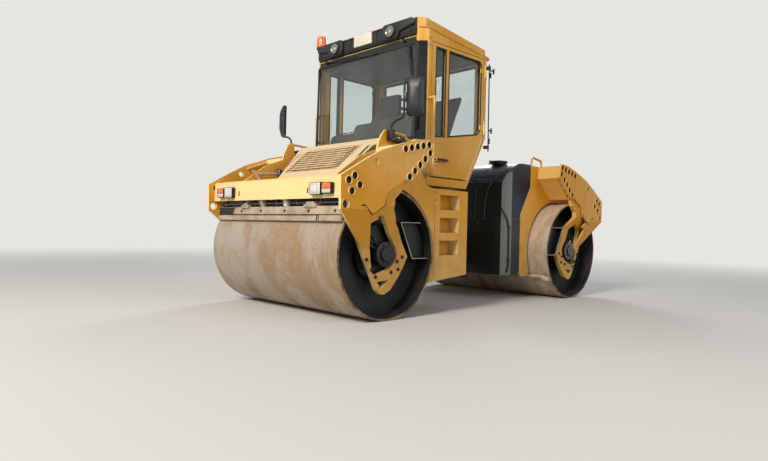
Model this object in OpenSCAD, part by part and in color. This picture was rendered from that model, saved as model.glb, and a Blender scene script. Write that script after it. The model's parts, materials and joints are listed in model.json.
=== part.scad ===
// Articulated tandem road roller with cab, in millimetres.
// The ground is z = 0, the front points along -Y and the machine's left is +X.
// The steering pivot stands at the origin, midway between the two drums.

/* [Overall] */
// Distance between the two drum axles
wheelbase = 3360; // [3340:10:3460]
// Width over the outer faces of the yoke plates
machine_w = 2300; // [2290:5:2360]
// Width over the outer faces of the main side plates
frame_w = 1600; // [1580:5:1620]

/* [Drums] */
// Outer diameter of a drum
drum_d = 1220; // [1200:5:1230]
// Rolling width of a drum
drum_w = 2135; // [2100:5:2145]
// Wall of the drum shell
drum_wall = 20; // [15:1:30]
// Depth from the drum's rim to its end disc
drum_recess = 200; // [195:5:220]
// Diameter of the drum's axle
axle_d = 120; // [90:5:140]
// Radial play between axle and bearing
axle_play = 0.05; // [0.03:0.01:0.1]
// Gap between the drum and the plates curved round it
arch_gap = 26; // [18:1:30]

/* [Yokes] */
// Thickness of the yoke plates
yoke_t = 30; // [25:1:36]
// Distance between the centre plane and the V's inner face
vee_x = 970; // [965:1:972]
// Thickness of the V
vee_t = 49; // [44:1:50]
// Bore of the lifting eyes
lift_eye_d = 60; // [50:1:64]
// Bore of the lashing eyes
lash_eye_d = 76; // [50:1:80]
// Bore of the rows of round holes
row_hole_d = 62; // [50:1:64]
// Thickness of the side plates and bent sheets
sheet_t = 14; // [10:1:18]

/* [Pivot] */
// Diameter of the steering pin
pivot_pin_d = 80; // [60:2:90]
// Diameter of the swing bearing's spindle
swing_pin_d = 140; // [110:2:150]
// Height of the pivot's middle
pivot_z = 620; // [600:5:650]
// Height of the gap between the pivot brackets
pivot_gap = 250; // [230:5:270]
// Radial play in the pivot's bearings
pivot_play = 0.05; // [0.03:0.01:0.1]

/* [Cab] */
// Width over the doors
cab_w = 1780; // [1740:5:1790]
// Thickness of the cab's posts and doors
cab_t = 42; // [34:1:46]
// Height of the roof's top at the front
roof_z = 3015; // [2985:5:3060]
// Thickness of the glass
glass_t = 6; // [5:1:8]
// Gap round the doors
door_gap = 7; // [6:1:9]

/* [Body] */
// Half width of the hood at its rear
hood_rear_w = 700; // [660:5:710]
// Half width of the hood at its front
hood_front_w = 500; // [480:5:540]
// Thickness of the hood's skin
hood_t = 8; // [6:1:10]
// Number of hood louvres
louvres = 9; // [6:1:10]
// Side of the step boxes from the centre plane
step_x = 1050; // [1030:5:1055]

/* [Hidden] */
$fn = 48;
axle_y = wheelbase / 2;
axle_z = drum_d / 2;
yoke_x = machine_w / 2;
side_x = frame_w / 2;
drum_x = drum_w / 2;
arch_r = drum_d / 2 + arch_gap;
// Inner side of the drum's arch, and the top of the decks over the drums
arch_y = axle_y - arch_r;
deck_z = axle_z + arch_r + 16;
seat_gap = 0.3;
// Gap left between parts of different bodies and round loose parts
clear_gap = 6;
yellow = "#d99a2b";
black = "#1c1f22";
steel = "#8d857c";

// Helpers: profiles extruded along X or Y, and mirrored pairs
module along_x(x, t) { translate([x, 0, 0]) rotate([90, 0, 90]) linear_extrude(t) children(); }
module along_y(y, t) { translate([0, y + t, 0]) rotate([90, 0, 0]) linear_extrude(t) children(); }
module rod_x(x, t, d) { translate([x, 0, 0]) rotate([0, 90, 0]) cylinder(d = d, h = t); }
module both_sides() {
    children();
    mirror([1, 0, 0]) children();
}
module at_rear() { mirror([0, 1, 0]) children(); }
module tube_between(a, b, d) {
    v = b - a;
    l = norm(v);
    translate(a) rotate([0, acos(v[2] / l), atan2(v[1], v[0])]) cylinder(d = d, h = l, $fn = 20);
}
// A bent tube: straight stretches, with a slightly thicker round knee at each bend
knee = 1.06;
module bent_tube(points, d) {
    for (i = [0 : len(points) - 2]) tube_between(points[i], points[i + 1], d);
    for (i = [1 : len(points) - 2]) translate(points[i]) sphere(d = d * knee, $fn = 20);
}

// Points measured from the front axle: outward from the machine's middle, and up
function from_axle(points) = [for (p = points) [-axle_y - p[0], axle_z + p[1]]];
// Points measured from the front axle and the deck: inward, and up
function from_deck(points) = [for (p = points) [-axle_y + p[0], deck_z + p[1]]];

// Yoke: plate with rows of holes, box bracket to the frame, and the V that carries the drum
plate_outline = [[655, 676], [393, 827], [206, 925], [-106, 1035], [-303, 1084], [-443, 1096],
                 [-492, 1006], [-490, 930], [-205, 682], [-150, 674], [-121, 690], [-5, 626], [94, 575],
                 [124, 533], [134, 447], [283, 358], [386, 445], [520, 405], [590, 366], [648, 391]];
box_outline = [[-425, 925], [-404, 1080], [-235, 1052], [-85, 1016], [-85, 800], [-142, 668]];
box_inside = [[-409, 931], [-390, 1063], [-235, 1037], [-99, 1003], [-99, 808], [-142, 700]];
vee_outline = [[-140, 720], [-105, 587], [-16, 509], [-15, 427], [-98, 338], [-165, 246], [-209, 133],
               [-300, -25], [-250, -118], [-180, -222], [-80, -335], [0, -372], [48, -368], [92, -329],
               [145, -226], [200, -115], [249, -32], [288, 49], [333, 147], [360, 260], [350, 380],
               [300, 470], [150, 600]];
// The front arm is an outer sheet that leans in from the yoke plate's foot
arm_outline = [[648, 396], [562, 315], [478, 235], [384, 149], [284, 55], [225, -60], [170, -70],
               [150, 300], [300, 420], [560, 440]];
vee_window = [[264, 279], [240, 296], [88, 360], [55, 343], [-19, 271], [-48, 197], [-103, 114],
              [-152, 50], [-162, 10], [-152, -36], [-123, -80], [-84, -116], [-36, -144], [16, -163],
              [70, -178], [122, -186], [155, -176], [168, -110], [177, -67], [189, 41], [228, 168]];
vee_hole = [[88, -252], [-52, -242], [44, -318]];
// Hole places on the yoke plate
holes_cluster = [[568, 640], [502, 681], [443, 606], [531, 550]];
lift_eye_at = [256, 822];
lash_eye_at = [594, 437];
function row(a, b, n) = [for (i = [0 : n - 1]) a + (b - a) * i / (n - 1)];
plate_holes = concat(holes_cluster, row([-429, 1048], [-109, 973], 5), row([-446, 969], [-171, 721], 5));

module yoke_plate() {
    along_x(yoke_x - yoke_t, yoke_t) polygon(from_axle(plate_outline));
}
module hole_rims() {
    for (p = from_axle(plate_holes)) translate([0, p[0], p[1]])
        rod_x(yoke_x - yoke_t, yoke_t + 4, row_hole_d + 16);
}
module bore_at(p, d) {
    q = from_axle([p])[0];
    translate([0, q[0], q[1]]) rod_x(yoke_x - yoke_t - 40, yoke_t + 80, d);
}
// The V is a bent sheet: flush behind the yoke plate above, and inside the drum's recess below
vee_top_x = yoke_x - yoke_t;
vee_bend = [445, 285];
lean_bend = [400, 55];
lean_t = 30;
module vee_sheet() {
    along_y(-axle_y - 420, 760) translate([0, axle_z]) polygon([[vee_top_x, 890], [vee_top_x, vee_bend[0]],
        [vee_x + vee_t, vee_bend[1]], [vee_x + vee_t, -460], [vee_x, -460], [vee_x, vee_bend[1] + 4],
        [vee_top_x - vee_t, vee_bend[0] + 4], [vee_top_x - vee_t, 890]]);
}
module arm_sheet() {
    along_y(-axle_y - 700, 760) translate([0, axle_z]) polygon([[yoke_x, 500], [yoke_x, lean_bend[0]],
        [vee_x + vee_t, lean_bend[1]], [vee_x + vee_t, -200], [vee_x + vee_t - lean_t, -200],
        [vee_x + vee_t - lean_t, lean_bend[1]], [yoke_x - lean_t, lean_bend[0]], [yoke_x - lean_t, 500]]);
}
module vee() {
    difference() {
        union() {
            intersection() {
                vee_sheet();
                along_x(vee_x - 1, yoke_x - vee_x) polygon(from_axle(vee_outline));
            }
            intersection() {
                arm_sheet();
                along_x(vee_x - 1, yoke_x - vee_x + 2) polygon(from_axle(arm_outline));
            }
        }
        along_x(vee_x - 10, yoke_x - yoke_t - vee_x + 9) polygon(from_axle(vee_window));
        along_x(vee_x - 10, 2 * vee_t) polygon(from_axle(vee_hole));
    }
}
// Box bracket of bent sheet from the side plate out to the yoke plate
module yoke_box() {
    difference() {
        along_x(side_x, yoke_x - yoke_t - side_x) polygon(from_axle(box_outline));
        along_x(side_x - 1, yoke_x - yoke_t - side_x - sheet_t) polygon(from_axle(box_inside));
    }
    // Cross tube on the box's front edge and a stiffener under the plate's top edge
    translate([0, -axle_y + 82, axle_z + 974]) rod_x(side_x, yoke_x - yoke_t - side_x, 48);
    along_x(yoke_x - yoke_t - 50, 50) polygon(from_axle([[190, 895], [-90, 996], [-90, 980], [184, 880]]));
}
module yoke() {
    color(yellow) difference() {
        union() {
            yoke_plate();
            vee();
            yoke_box();
            hole_rims();
            // Boss of the lashing eye
            translate([0, -axle_y - lash_eye_at[0], axle_z + lash_eye_at[1]])
                rod_x(yoke_x - yoke_t, yoke_t + 4, lash_eye_d + 18);
        }
        for (p = plate_holes) bore_at(p, row_hole_d);
        bore_at(lift_eye_at, lift_eye_d);
        bore_at(lash_eye_at, lash_eye_d);
    }
}
module front_yoke_left() { yoke(); }
module front_yoke_right() { mirror([1, 0, 0]) yoke(); }
module rear_yoke_left() { at_rear() yoke(); }
module rear_yoke_right() { at_rear() mirror([1, 0, 0]) yoke(); }

// Drum carrier: a disc bolted to the V by rubber blocks, with the fixed axle and the motor
disc_x = drum_x - drum_recess;
carrier_d = 540;
carrier_t = 26;
block_d = 62;
block_l = 40;
motor_d = 230;
module hub() {
    color(black) translate([0, -axle_y, axle_z]) {
        rod_x(vee_x - block_l - carrier_t, carrier_t, carrier_d);
        rod_x(disc_x - 60, vee_x - block_l - disc_x + 60, axle_d);
        rod_x(vee_x - block_l - 1, 96, motor_d);
        rod_x(vee_x - block_l + 90, 34, motor_d * 0.6);
        for (a = [-150 : 30 : -30]) rotate([a, 0, 0]) translate([0, 225, 0])
            rod_x(vee_x - block_l - 1, block_l + 1, block_d);
    }
}
// Tray-shaped guards in the drum's end, held by the V
guard_x = vee_x - 12;
guard_outline = [[-60, 300], [-455, 300], [-500, 250], [-545, 160], [-565, 60], [-568, -45], [-352, -45],
                 [-186, 275], [-60, 275]];
module guard() {
    color(black) {
        along_x(guard_x, 12 - seat_gap) polygon(from_axle(guard_outline));
        along_x(guard_x, 78) polygon(from_axle([[-186, 300], [-455, 300], [-459, 294], [-186, 294]]));
        along_x(guard_x, 78) polygon(from_axle([[-352, -45], [-568, -45], [-568, -39], [-352, -39]]));
        along_x(guard_x, 78) polygon(from_axle([[-186, 300], [-193, 300], [-359, -45], [-352, -45]]));
    }
}
module front_guards() { both_sides() guard(); }
module rear_guards() { at_rear() both_sides() guard(); }
module front_hubs() { both_sides() hub(); }
module rear_hubs() { at_rear() both_sides() hub(); }

// Drum: open shell with two end discs, each with a bearing housing round the axle
housing_d = 240;
housing_in = 50;
module drum() {
    color(steel) translate([0, -axle_y, axle_z]) {
        difference() {
            rod_x(-drum_x, drum_w, drum_d);
            rod_x(-drum_x - 1, drum_recess + 1, drum_d - 2 * drum_wall);
            rod_x(disc_x, drum_recess + 1, drum_d - 2 * drum_wall);
            rod_x(-disc_x + drum_wall, 2 * disc_x - 2 * drum_wall, drum_d - 2 * drum_wall);
            rod_x(-drum_x, drum_w, axle_d + 2 * axle_play);
        }
        both_sides() difference() {
            rod_x(disc_x - housing_in - drum_wall, housing_in + drum_wall, housing_d);
            rod_x(disc_x - housing_in - drum_wall - 1, housing_in + drum_wall + 2, axle_d + 2 * axle_play);
        }
    }
}
module front_drum() { drum(); }
module rear_drum() { at_rear() drum(); }

// Scrapers: a blade on the drum's outer side and a tube with a blade on its inner side
module scrapers() {
    color(steel) {
        along_x(-drum_x + 20, drum_w - 40)
            polygon(from_axle([[548, 340], [560, 346], [538, 425], [525, 425]]));
        along_x(-drum_x + 10, drum_w - 20)
            polygon(from_axle([[548, 286], [572, 292], [561, 344], [548, 340]]));
        both_sides() along_x(180, 60) polygon(from_axle([[526, 420], [539, 420], [569.7, 500],
            [567, 560], [540, 560], [515, 470]]));
        translate([0, -axle_y + 560, axle_z - 322]) rod_x(-drum_x + 60, drum_w - 120, 40);
        along_x(-drum_x + 60, drum_w - 120) polygon(from_axle([[-556, -300], [-541, -305], [-534, -314],
            [-552, -330]]));
        both_sides() along_x(side_x - 60, 18) polygon(from_axle([[-590, -330], [-545, -335], [-560, -300],
            [-575, belly_z - axle_z - seat_gap], [-655, belly_z - axle_z - seat_gap], [-655, -300]]));
    }
}
module front_scrapers() { scrapers(); }
module rear_scrapers() { at_rear() scrapers(); }

// Front and rear beams between the yoke plates, bent from sheet
beam_y = axle_y + 584;
beam_z = 1102;
beam_top = 1308;
module beam() {
    color(yellow) difference() {
        along_x(-yoke_x + yoke_t, machine_w - 2 * yoke_t) polygon([[-beam_y, beam_z],
            [-beam_y + 4, beam_top - 18], [-beam_y + 22, beam_top], [-beam_y + 110, beam_top],
            [-beam_y + 110, beam_z + 60], [-beam_y + 60, beam_z]]);
        along_x(-yoke_x + yoke_t + sheet_t, machine_w - 2 * yoke_t - 2 * sheet_t) polygon([
            [-beam_y + sheet_t, beam_z - 1], [-beam_y + sheet_t + 4, beam_top - 22],
            [-beam_y + 28, beam_top - sheet_t], [-beam_y + 111, beam_top - sheet_t],
            [-beam_y + 111, beam_z - 1]]);
    }
}
module front_beam() { beam(); }
module rear_beam() { at_rear() beam(); }

// Lamps: a headlamp and an indicator on each side, in one black housing
lamp_z = 1187;
lamp_x = [700, 812];
indicator_x = [862, 944];
module lamp_set() {
    color(black) translate([686, -beam_y - 34, lamp_z - 56]) cube([270, 34 - seat_gap, 108]);
    color("#f2efe6") translate([lamp_x[0], -beam_y - 48, lamp_z - 44])
        cube([lamp_x[1] - lamp_x[0], 14.5, 88]);
    color("#e0742c") translate([indicator_x[0], -beam_y - 46, lamp_z - 40])
        cube([indicator_x[1] - indicator_x[0], 12.5, 80]);
}
module front_lamps() { both_sides() lamp_set(); }
module rear_lamps() { at_rear() both_sides() lamp_set(); }

// Frames: side plates, deck over the drum and the curved guard behind it
belly_z = 340;
deck_t = 18;
inner_y = arch_y - 24;
plate_t = 20;
module guard_wall(z_low) {
    intersection() {
        translate([0, -axle_y, axle_z]) difference() {
            rod_x(-side_x + plate_t, frame_w - 2 * plate_t, 2 * (arch_r + sheet_t));
            rod_x(-side_x, frame_w, 2 * arch_r);
        }
        translate([-side_x, -inner_y - 200, z_low]) cube([frame_w, 240, deck_z - z_low - 60]);
    }
}
module drum_cut(t = 3 * machine_w) { translate([0, -axle_y, axle_z]) rod_x(-t / 2, t, 2 * arch_r); }
module deck() {
    translate([-side_x + plate_t, -beam_y + 110, deck_z])
        cube([frame_w - 2 * plate_t, beam_y - 110 - arch_y - 68, deck_t]);
}

front_back_y = -450;
lug_r = 105;
lug_t = 40;
housing_z = [belly_z, deck_z - 7];
module pivot_lug(z) {
    difference() {
        union() {
            translate([0, 0, z]) cylinder(r = lug_r, h = lug_t);
            translate([0, 0, z]) linear_extrude(lug_t)
                polygon([[-lug_r, 0], [lug_r, 0], [260, front_back_y], [-260, front_back_y]]);
        }
        translate([0, 0, z - 1]) cylinder(d = pivot_pin_d + 2 * pivot_play, h = lug_t + 2);
    }
}
cyl_pin_at = [-520, -330];
rod_pin_at = [-165, 60];
cyl_z = 930;
cyl_pin_d = 40;
module front_frame() {
    color(yellow) {
        difference() {
            both_sides() along_x(side_x - plate_t, plate_t) polygon(concat(
                from_deck([[-473, 0], [-473, 28], [-145, 258], [40, 328], [75, 338], [97, 420], [135, 495],
                    [180, 545], [225, 548], [240, 428], [500, 492], [545, 492], [545, 28]]),
                [[-560, deck_z - 7], [-510, deck_z - 60], [-510, 420], [-560, belly_z],
                    [-arch_y - 16, belly_z], [-arch_y - 86, 420]]));
            drum_cut();
        }
        both_sides() bent_tube([for (p = from_deck([[218, 533], [462, 521], [528, 462]]))
            [side_x - 14, p[0], p[1]]], 26);
        both_sides() translate([0, hood_pin_at[0], hood_pin_at[1]])
            rod_x(hood_rear_w - hood_t, side_x - plate_t - hood_rear_w + hood_t + 1, hood_pin_d);
        deck();
        guard_wall(belly_z);
        // Closed compartment between the drum and the pivot
        difference() {
            translate([-side_x + plate_t, -inner_y - 100, housing_z[0]])
                cube([frame_w - 2 * plate_t, inner_y + 100 + front_back_y, housing_z[1] - housing_z[0]]);
            translate([-side_x + plate_t - 1, -inner_y - 101, housing_z[0] + sheet_t])
                cube([frame_w - 2 * plate_t + 2, inner_y + 100 + front_back_y - 24,
                      housing_z[1] - housing_z[0] - 2 * sheet_t]);
            drum_cut();
        }
        pivot_lug(pivot_z + pivot_gap / 2);
        pivot_lug(pivot_z - pivot_gap / 2 - lug_t);
        // Bracket of the steering cylinder
        difference() {
            translate([cyl_pin_at[0], cyl_pin_at[1], cyl_z - 76]) union() {
                cylinder(r = 42, h = 30);
                translate([-42, front_back_y - cyl_pin_at[1], 0])
                    cube([84, cyl_pin_at[1] - front_back_y, 30]);
            }
            translate([cyl_pin_at[0], cyl_pin_at[1], cyl_z - 77]) cylinder(d = cyl_pin_d, h = 32);
        }
    }
}

// Step boxes with three recessed steps each; their front edge follows the drum
step_z = [deck_z - 137, deck_z - 367, deck_z - 597];
module step_boxes() {
    color(yellow) both_sides() difference() {
        along_x(side_x + seat_gap, step_x - side_x - seat_gap) polygon(concat(
            [[-510, 385], [-510, deck_z - 7]],
            from_deck([[600, -3], [530, 18], [430, 160], [390, 216], [152, 0], [0, 0], [0, -162]]),
            [[-arch_y - 71, 322]]));
        drum_cut();
        for (z = step_z) translate([step_x - 120, -952, z - 75]) cube([130, 297, 150]);
    }
}

// Hood: sloped front with louvres, flat top, side walls drawn in towards the front
hood_low = from_deck([[-170, 103]])[0];
hood_bend = from_deck([[268, 491]])[0];
hood_back = from_deck([[545, 503]])[0];
hood_foot_z = deck_z + deck_t + clear_gap;
hood_pin_at = hood_back + [-15, -30];
hood_pin_d = 24;
module hood_body(e) {
    intersection() {
        along_x(-side_x, frame_w) polygon([[hood_low[0] + e, hood_foot_z - e],
            [hood_low[0] + e, hood_low[1] - e], [hood_bend[0] + e / 2, hood_bend[1] - 1.2 * e],
            [hood_back[0] - e, hood_back[1] - 1.1 * e], [hood_back[0] - e, hood_foot_z - e]]);
        translate([0, 0, deck_z]) linear_extrude(600) polygon([
            [-hood_front_w + e, hood_low[0]], [hood_front_w - e, hood_low[0]],
            [hood_rear_w - e, hood_bend[0]], [hood_rear_w - e, hood_back[0]],
            [-hood_rear_w + e, hood_back[0]], [-hood_rear_w + e, hood_bend[0]]]);
    }
}
louvre_w = 710;
louvre_from = 116;
louvre_run = 372;
// Slots: distance from the middle, start up the slope, and length
slots = [[562, 196, 262], [640, 236, 220]];
slope = atan2(hood_bend[1] - hood_low[1], hood_bend[0] - hood_low[0]);
louvre_pitch = louvre_run / louvres;
// A place on the hood's slope: its children lie in the sloped skin, X across and Y up the slope
module on_slope() { translate([0, hood_low[0], hood_low[1]]) rotate([slope, 0, 0]) children(); }
module hood() {
    color("#e3c98f") {
        difference() {
            hood_body(0);
            hood_body(hood_t);
            translate([-hood_rear_w + hood_t, hood_back[0] - 60, hood_foot_z - 1])
                cube([2 * (hood_rear_w - hood_t), 61, hood_back[1] - hood_foot_z - hood_t - 14]);
            translate([0, hood_pin_at[0], hood_pin_at[1]])
                rod_x(-side_x, frame_w, hood_pin_d + 2 * pivot_play);
            translate([-side_x, hood_low[0] - 1, deck_z])
                cube([frame_w, -hood_low[0], hood_foot_z - deck_z + 1]);
            on_slope() {
                // Gaps behind the louvres, along the grille's lower and upper edges and down its sides
                for (i = [0 : louvres - 1])
                    translate([-louvre_w / 2, louvre_from + i * louvre_pitch, -hood_t * 2])
                        cube([louvre_w, 12, hood_t * 4]);
                for (y = [louvre_from - 16, louvre_from + louvre_run + 6])
                    translate([-louvre_w / 2, y, -hood_t * 2]) cube([louvre_w, 7, hood_t * 4]);
                both_sides() for (i = [0 : 10])
                    translate([louvre_w / 2 + 12, louvre_from + 8 + i * 34, -hood_t * 2])
                        cube([12, 16, hood_t * 4]);
                // Two slots beside the grille
                both_sides() for (a = slots)
                    translate([a[0], a[1], -hood_t * 2]) cube([20, a[2], hood_t * 4]);
            }
        }
        on_slope() for (i = [0 : louvres - 1]) translate([0, louvre_from + i * louvre_pitch, 0])
            along_x(-louvre_w / 2, louvre_w)
                polygon([[12, -2], [louvre_pitch - 3, -2], [louvre_pitch - 3, 3], [2, 13], [-2, 11],
                    [12, 4]]);
        // Raised strips beside the grille
        on_slope() both_sides() translate([430, 305, -2]) cube([16, 205, 8]);
    }
}
module engine_block() {
    color("#3a3f42") translate([-450, hood_low[0] + 300, deck_z + deck_t])
        cube([900, hood_back[0] - hood_low[0] - 345, hood_bend[1] - deck_z - deck_t - 150]);
}

// Cab: outline seen from the side and from above
cab_x = cab_w / 2;
cab_rear = -25;
cab_front = -1106;
// The windscreen leans back to the roof's front
roof_front = cab_front + 24;
cab_foot = deck_z + 38;
cab_top = roof_z - 215;
cab_top_front = roof_z - 110;
sill_z = deck_z + 504;
head_z = roof_z - 250;
corner_x = cab_x - 90;
corner_y = -1000;
rear_knee_z = cab_foot + 584;
rear_slope = 320 / 584;
module cab_side(e) {
    polygon([[cab_front + e, cab_foot + 190 + e * 0.5], [cab_front + e, sill_z], [roof_front + e, head_z],
        [roof_front + e, cab_top_front - e], [cab_rear - e, cab_top - e],
        [cab_rear - e, rear_knee_z + e * 0.2],
        [cab_rear - (rear_knee_z - cab_foot) * rear_slope - e * 0.6, cab_foot + e],
        [cab_front + 134 + e * 0.5, cab_foot + e]]);
}
module cab_plan(e) {
    polygon([[-corner_x + e * 0.4, cab_front + e], [corner_x - e * 0.4, cab_front + e],
        [cab_x - e, corner_y + e * 0.4], [cab_x - e, cab_rear - e], [-cab_x + e, cab_rear - e],
        [-cab_x + e, corner_y + e * 0.4]]);
}
module cab_solid(e) {
    intersection() {
        along_x(-cab_x, cab_w) cab_side(e);
        translate([0, 0, 1000]) linear_extrude(2000) cab_plan(e);
    }
}
door_front = -945;
door_rear = -72;
door_z = [cab_foot + 92, head_z + 7];
module door_shape(c) {
    polygon([[door_front - c, door_z[1] + c], [door_rear + c, door_z[1] + c], [door_rear + c, rear_knee_z],
        [door_rear + c - (rear_knee_z - door_z[0] + c) * rear_slope, door_z[0] - c],
        [door_front - c, door_z[0] - c]]);
}
module cab_frame() {
    color(yellow) difference() {
        cab_solid(0);
        cab_solid(cab_t);
        // Front opening between the corner posts
        translate([-cab_x, cab_front - 1, sill_z]) cube([cab_w, 84, head_z - sill_z]);
        both_sides() along_x(cab_x - cab_t - 5, cab_t + 10) door_shape(door_gap);
        translate([-cab_x + 130, cab_rear - 60, sill_z + 60])
            cube([cab_w - 260, 70, head_z - sill_z - 90]);
    }
    color(black) both_sides() for (z = hinge_z) {
        translate([door_hinge_x, door_hinge_y, z - 31]) cylinder(d = hinge_pin_d, h = hinge_l + 62);
        for (h = [z - 31, z + hinge_l + 1]) translate([door_hinge_x, door_hinge_y, h]) {
            cylinder(d = 22, h = 30);
            translate([-18, 1, 0]) cube([20, 22, 30]);
        }
    }
}
// Rubber mounts between the frame and the cab's floor
mount_y = [-860, -520];
module cab_mounts() {
    color(black) both_sides() for (y = mount_y) translate([600, y, housing_z[1]]) {
        cylinder(d = 150, h = 12);
        cylinder(d = 110, h = cab_foot - housing_z[1]);
    }
}
module windscreen() {
    color("#9fb8bd") along_x(-corner_x + 4, 2 * corner_x - 8) polygon([[cab_front, sill_z + seat_gap],
        [roof_front, head_z - seat_gap], [roof_front + glass_t, head_z - seat_gap],
        [cab_front + glass_t, sill_z + seat_gap]]);
}
module corner_glass() {
    color("#9fb8bd") both_sides() intersection() {
        translate([0, 0, sill_z + seat_gap]) linear_extrude(head_z - sill_z - 2 * seat_gap)
            polygon([[corner_x - 30, cab_front - 36], [cab_x - 3, corner_y - 24],
                [cab_x - 6, corner_y - 16], [corner_x - 36, cab_front - 30]]);
        along_x(0, cab_x) polygon([[cab_front + glass_t + seat_gap, sill_z],
            [roof_front + glass_t + seat_gap, head_z], [corner_y + 100, head_z], [corner_y + 100, sill_z]]);
    }
}
module rear_window() {
    color("#9fb8bd") translate([-cab_x + 130 + seat_gap, cab_rear - 20, sill_z + 60 + seat_gap])
        cube([cab_w - 260 - 2 * seat_gap, glass_t, head_z - sill_z - 90 - 2 * seat_gap]);
}

// Roof: pressed cap that slopes down to the rear, with a rain gutter along its foot
roof_rear_z = roof_z - 117;
roof_side = cab_x - 35;
module roof_plan(e) {
    linear_extrude(2 * roof_z) polygon([[-corner_x + 5 - e, roof_front - 100],
        [corner_x - 5 + e, roof_front - 100], [corner_x - 5 + e, roof_front],
        [roof_side + e, roof_front + 70], [roof_side + e, cab_rear + 100],
        [-roof_side - e, cab_rear + 100], [-roof_side - e, roof_front + 70],
        [-corner_x + 5 - e, roof_front]]);
}
module cab_roof() {
    color(yellow) {
        difference() {
            intersection() {
                along_x(-cab_x, cab_w) polygon([[roof_front, cab_top_front], [roof_front, roof_z],
                    [cab_rear + 8, roof_rear_z], [cab_rear + 24, cab_top + 10], [cab_rear, cab_top]]);
                roof_plan(0);
            }
            along_x(-roof_side + 14, 2 * roof_side - 28) polygon([[roof_front + 90, cab_top_front + 10],
                [roof_front + 90, roof_z - 28], [cab_rear - 40, roof_rear_z - 14],
                [cab_rear - 40, cab_top + 20]]);
        }
        intersection() {
            along_x(-cab_x - 10, cab_w + 20) polygon([[roof_front + 2, cab_top_front], [cab_rear, cab_top],
                [cab_rear + 42, cab_top - 22], [cab_rear + 46, cab_top - 14], [cab_rear + 26, cab_top + 12],
                [roof_front + 2, cab_top_front + 6]]);
            roof_plan(42);
        }
    }
}
light_y = roof_front;
lamp_r = 56;
lamp_at = [457, roof_z - 93];
module light_bar() {
    color(black) difference() {
        along_x(-corner_x + 5, 2 * corner_x - 10) polygon([[light_y - seat_gap, roof_z - 8],
            [light_y - 16, roof_z - 12], [light_y - 32, roof_z - 50], [light_y - 36, roof_z - 140],
            [light_y - 22, roof_z - 178], [light_y - seat_gap, roof_z - 188]]);
        for (s = [-1, 1]) translate([s * lamp_at[0], light_y - 60, lamp_at[1]]) rotate([-90, 0, 0])
            cylinder(r = lamp_r + 3, h = 50);
    }
}
module work_lamps() {
    color("#d8d4c8") for (s = [-1, 1]) translate([s * lamp_at[0], light_y - 45, lamp_at[1]])
        rotate([-90, 0, 0]) cylinder(r = lamp_r, h = 35 - seat_gap);
}
beacon_at = [-cab_x - 16, roof_front + 96];
module beacon() {
    color(black) translate([-cab_x - 40, beacon_at[1] - 24, roof_z - 85]) cube([75 - seat_gap, 48, 8]);
    translate([beacon_at[0], beacon_at[1], roof_z - 80]) {
        color(black) cylinder(d = 26, h = 96);
        color(black) translate([0, 0, 94]) cylinder(d = 124, h = 24);
        color("#e0742c") translate([0, 0, 118]) cylinder(d1 = 120, d2 = 106, h = 92);
        color("#e0742c") translate([0, 0, 210]) intersection() {
            sphere(d = 106);
            translate([-60, -60, 0]) cube([120, 120, 60]);
        }
    }
}

// Doors, hinged at the rear edge outside the cab's face
door_hinge_x = cab_x + 14;
door_hinge_y = door_rear + 8;
hinge_z = [rear_knee_z + 74, head_z - 175];
hinge_l = 90;
hinge_pin_d = 12;
// Outlines of the door's two windows, drawn in by e; the sill rises to the rear
window_top = head_z - 33;
window_low = sill_z + 42;
module door_windows(e) {
    polygon([[door_front + 60 + e, window_low + e], [door_front + 215 - e, window_low + 14 + e],
        [door_front + 215 - e, window_top - e], [door_front + 60 + e, window_top - e]]);
    polygon([[door_front + 269 + e, window_low + 20 + e], [door_rear - 113, window_low + 104 + e],
        [door_rear - 56 - e, window_low + 154 + e], [door_rear - 46 - e, window_low + 222],
        [door_rear - 46 - e, window_top - 32], [door_rear - 78, window_top - e],
        [door_front + 269 + e, window_top - e]]);
}
module door_left() {
    color(yellow) {
        difference() {
            along_x(cab_x - cab_t, cab_t) door_shape(0);
            along_x(cab_x - cab_t - 1, cab_t + 2) door_windows(0);
            along_x(cab_x - cab_t - 1, cab_t - 7) polygon([[door_front + 30, door_z[0] + 35],
                [door_front + 30, window_low - 30], [-235, window_low - 30], [-400, door_z[0] + 35]]);
        }
    }
    color(black) for (z = hinge_z) difference() {
        union() {
            translate([door_hinge_x, door_hinge_y, z]) cylinder(d = 22, h = hinge_l);
            translate([cab_x - 1, door_rear - 62, z + 20]) cube([8, 65, 50]);
        }
        translate([door_hinge_x, door_hinge_y, z - 1])
            cylinder(d = hinge_pin_d + 2 * pivot_play, h = hinge_l + 2);
    }
    color(black) translate([cab_x - 1, door_front + 65, sill_z - 206]) cube([38, 186, 28]);
}
module door_right() { mirror([1, 0, 0]) door_left(); }
module door_glass_left() {
    color("#9fb8bd") along_x(cab_x - 22, glass_t) door_windows(seat_gap);
}
module door_glass_right() { mirror([1, 0, 0]) door_glass_left(); }

// Inside the cab
floor_z = cab_foot + cab_t;
column_a = 28;
column_l = 140;
dash_z = floor_z + 740;
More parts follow.
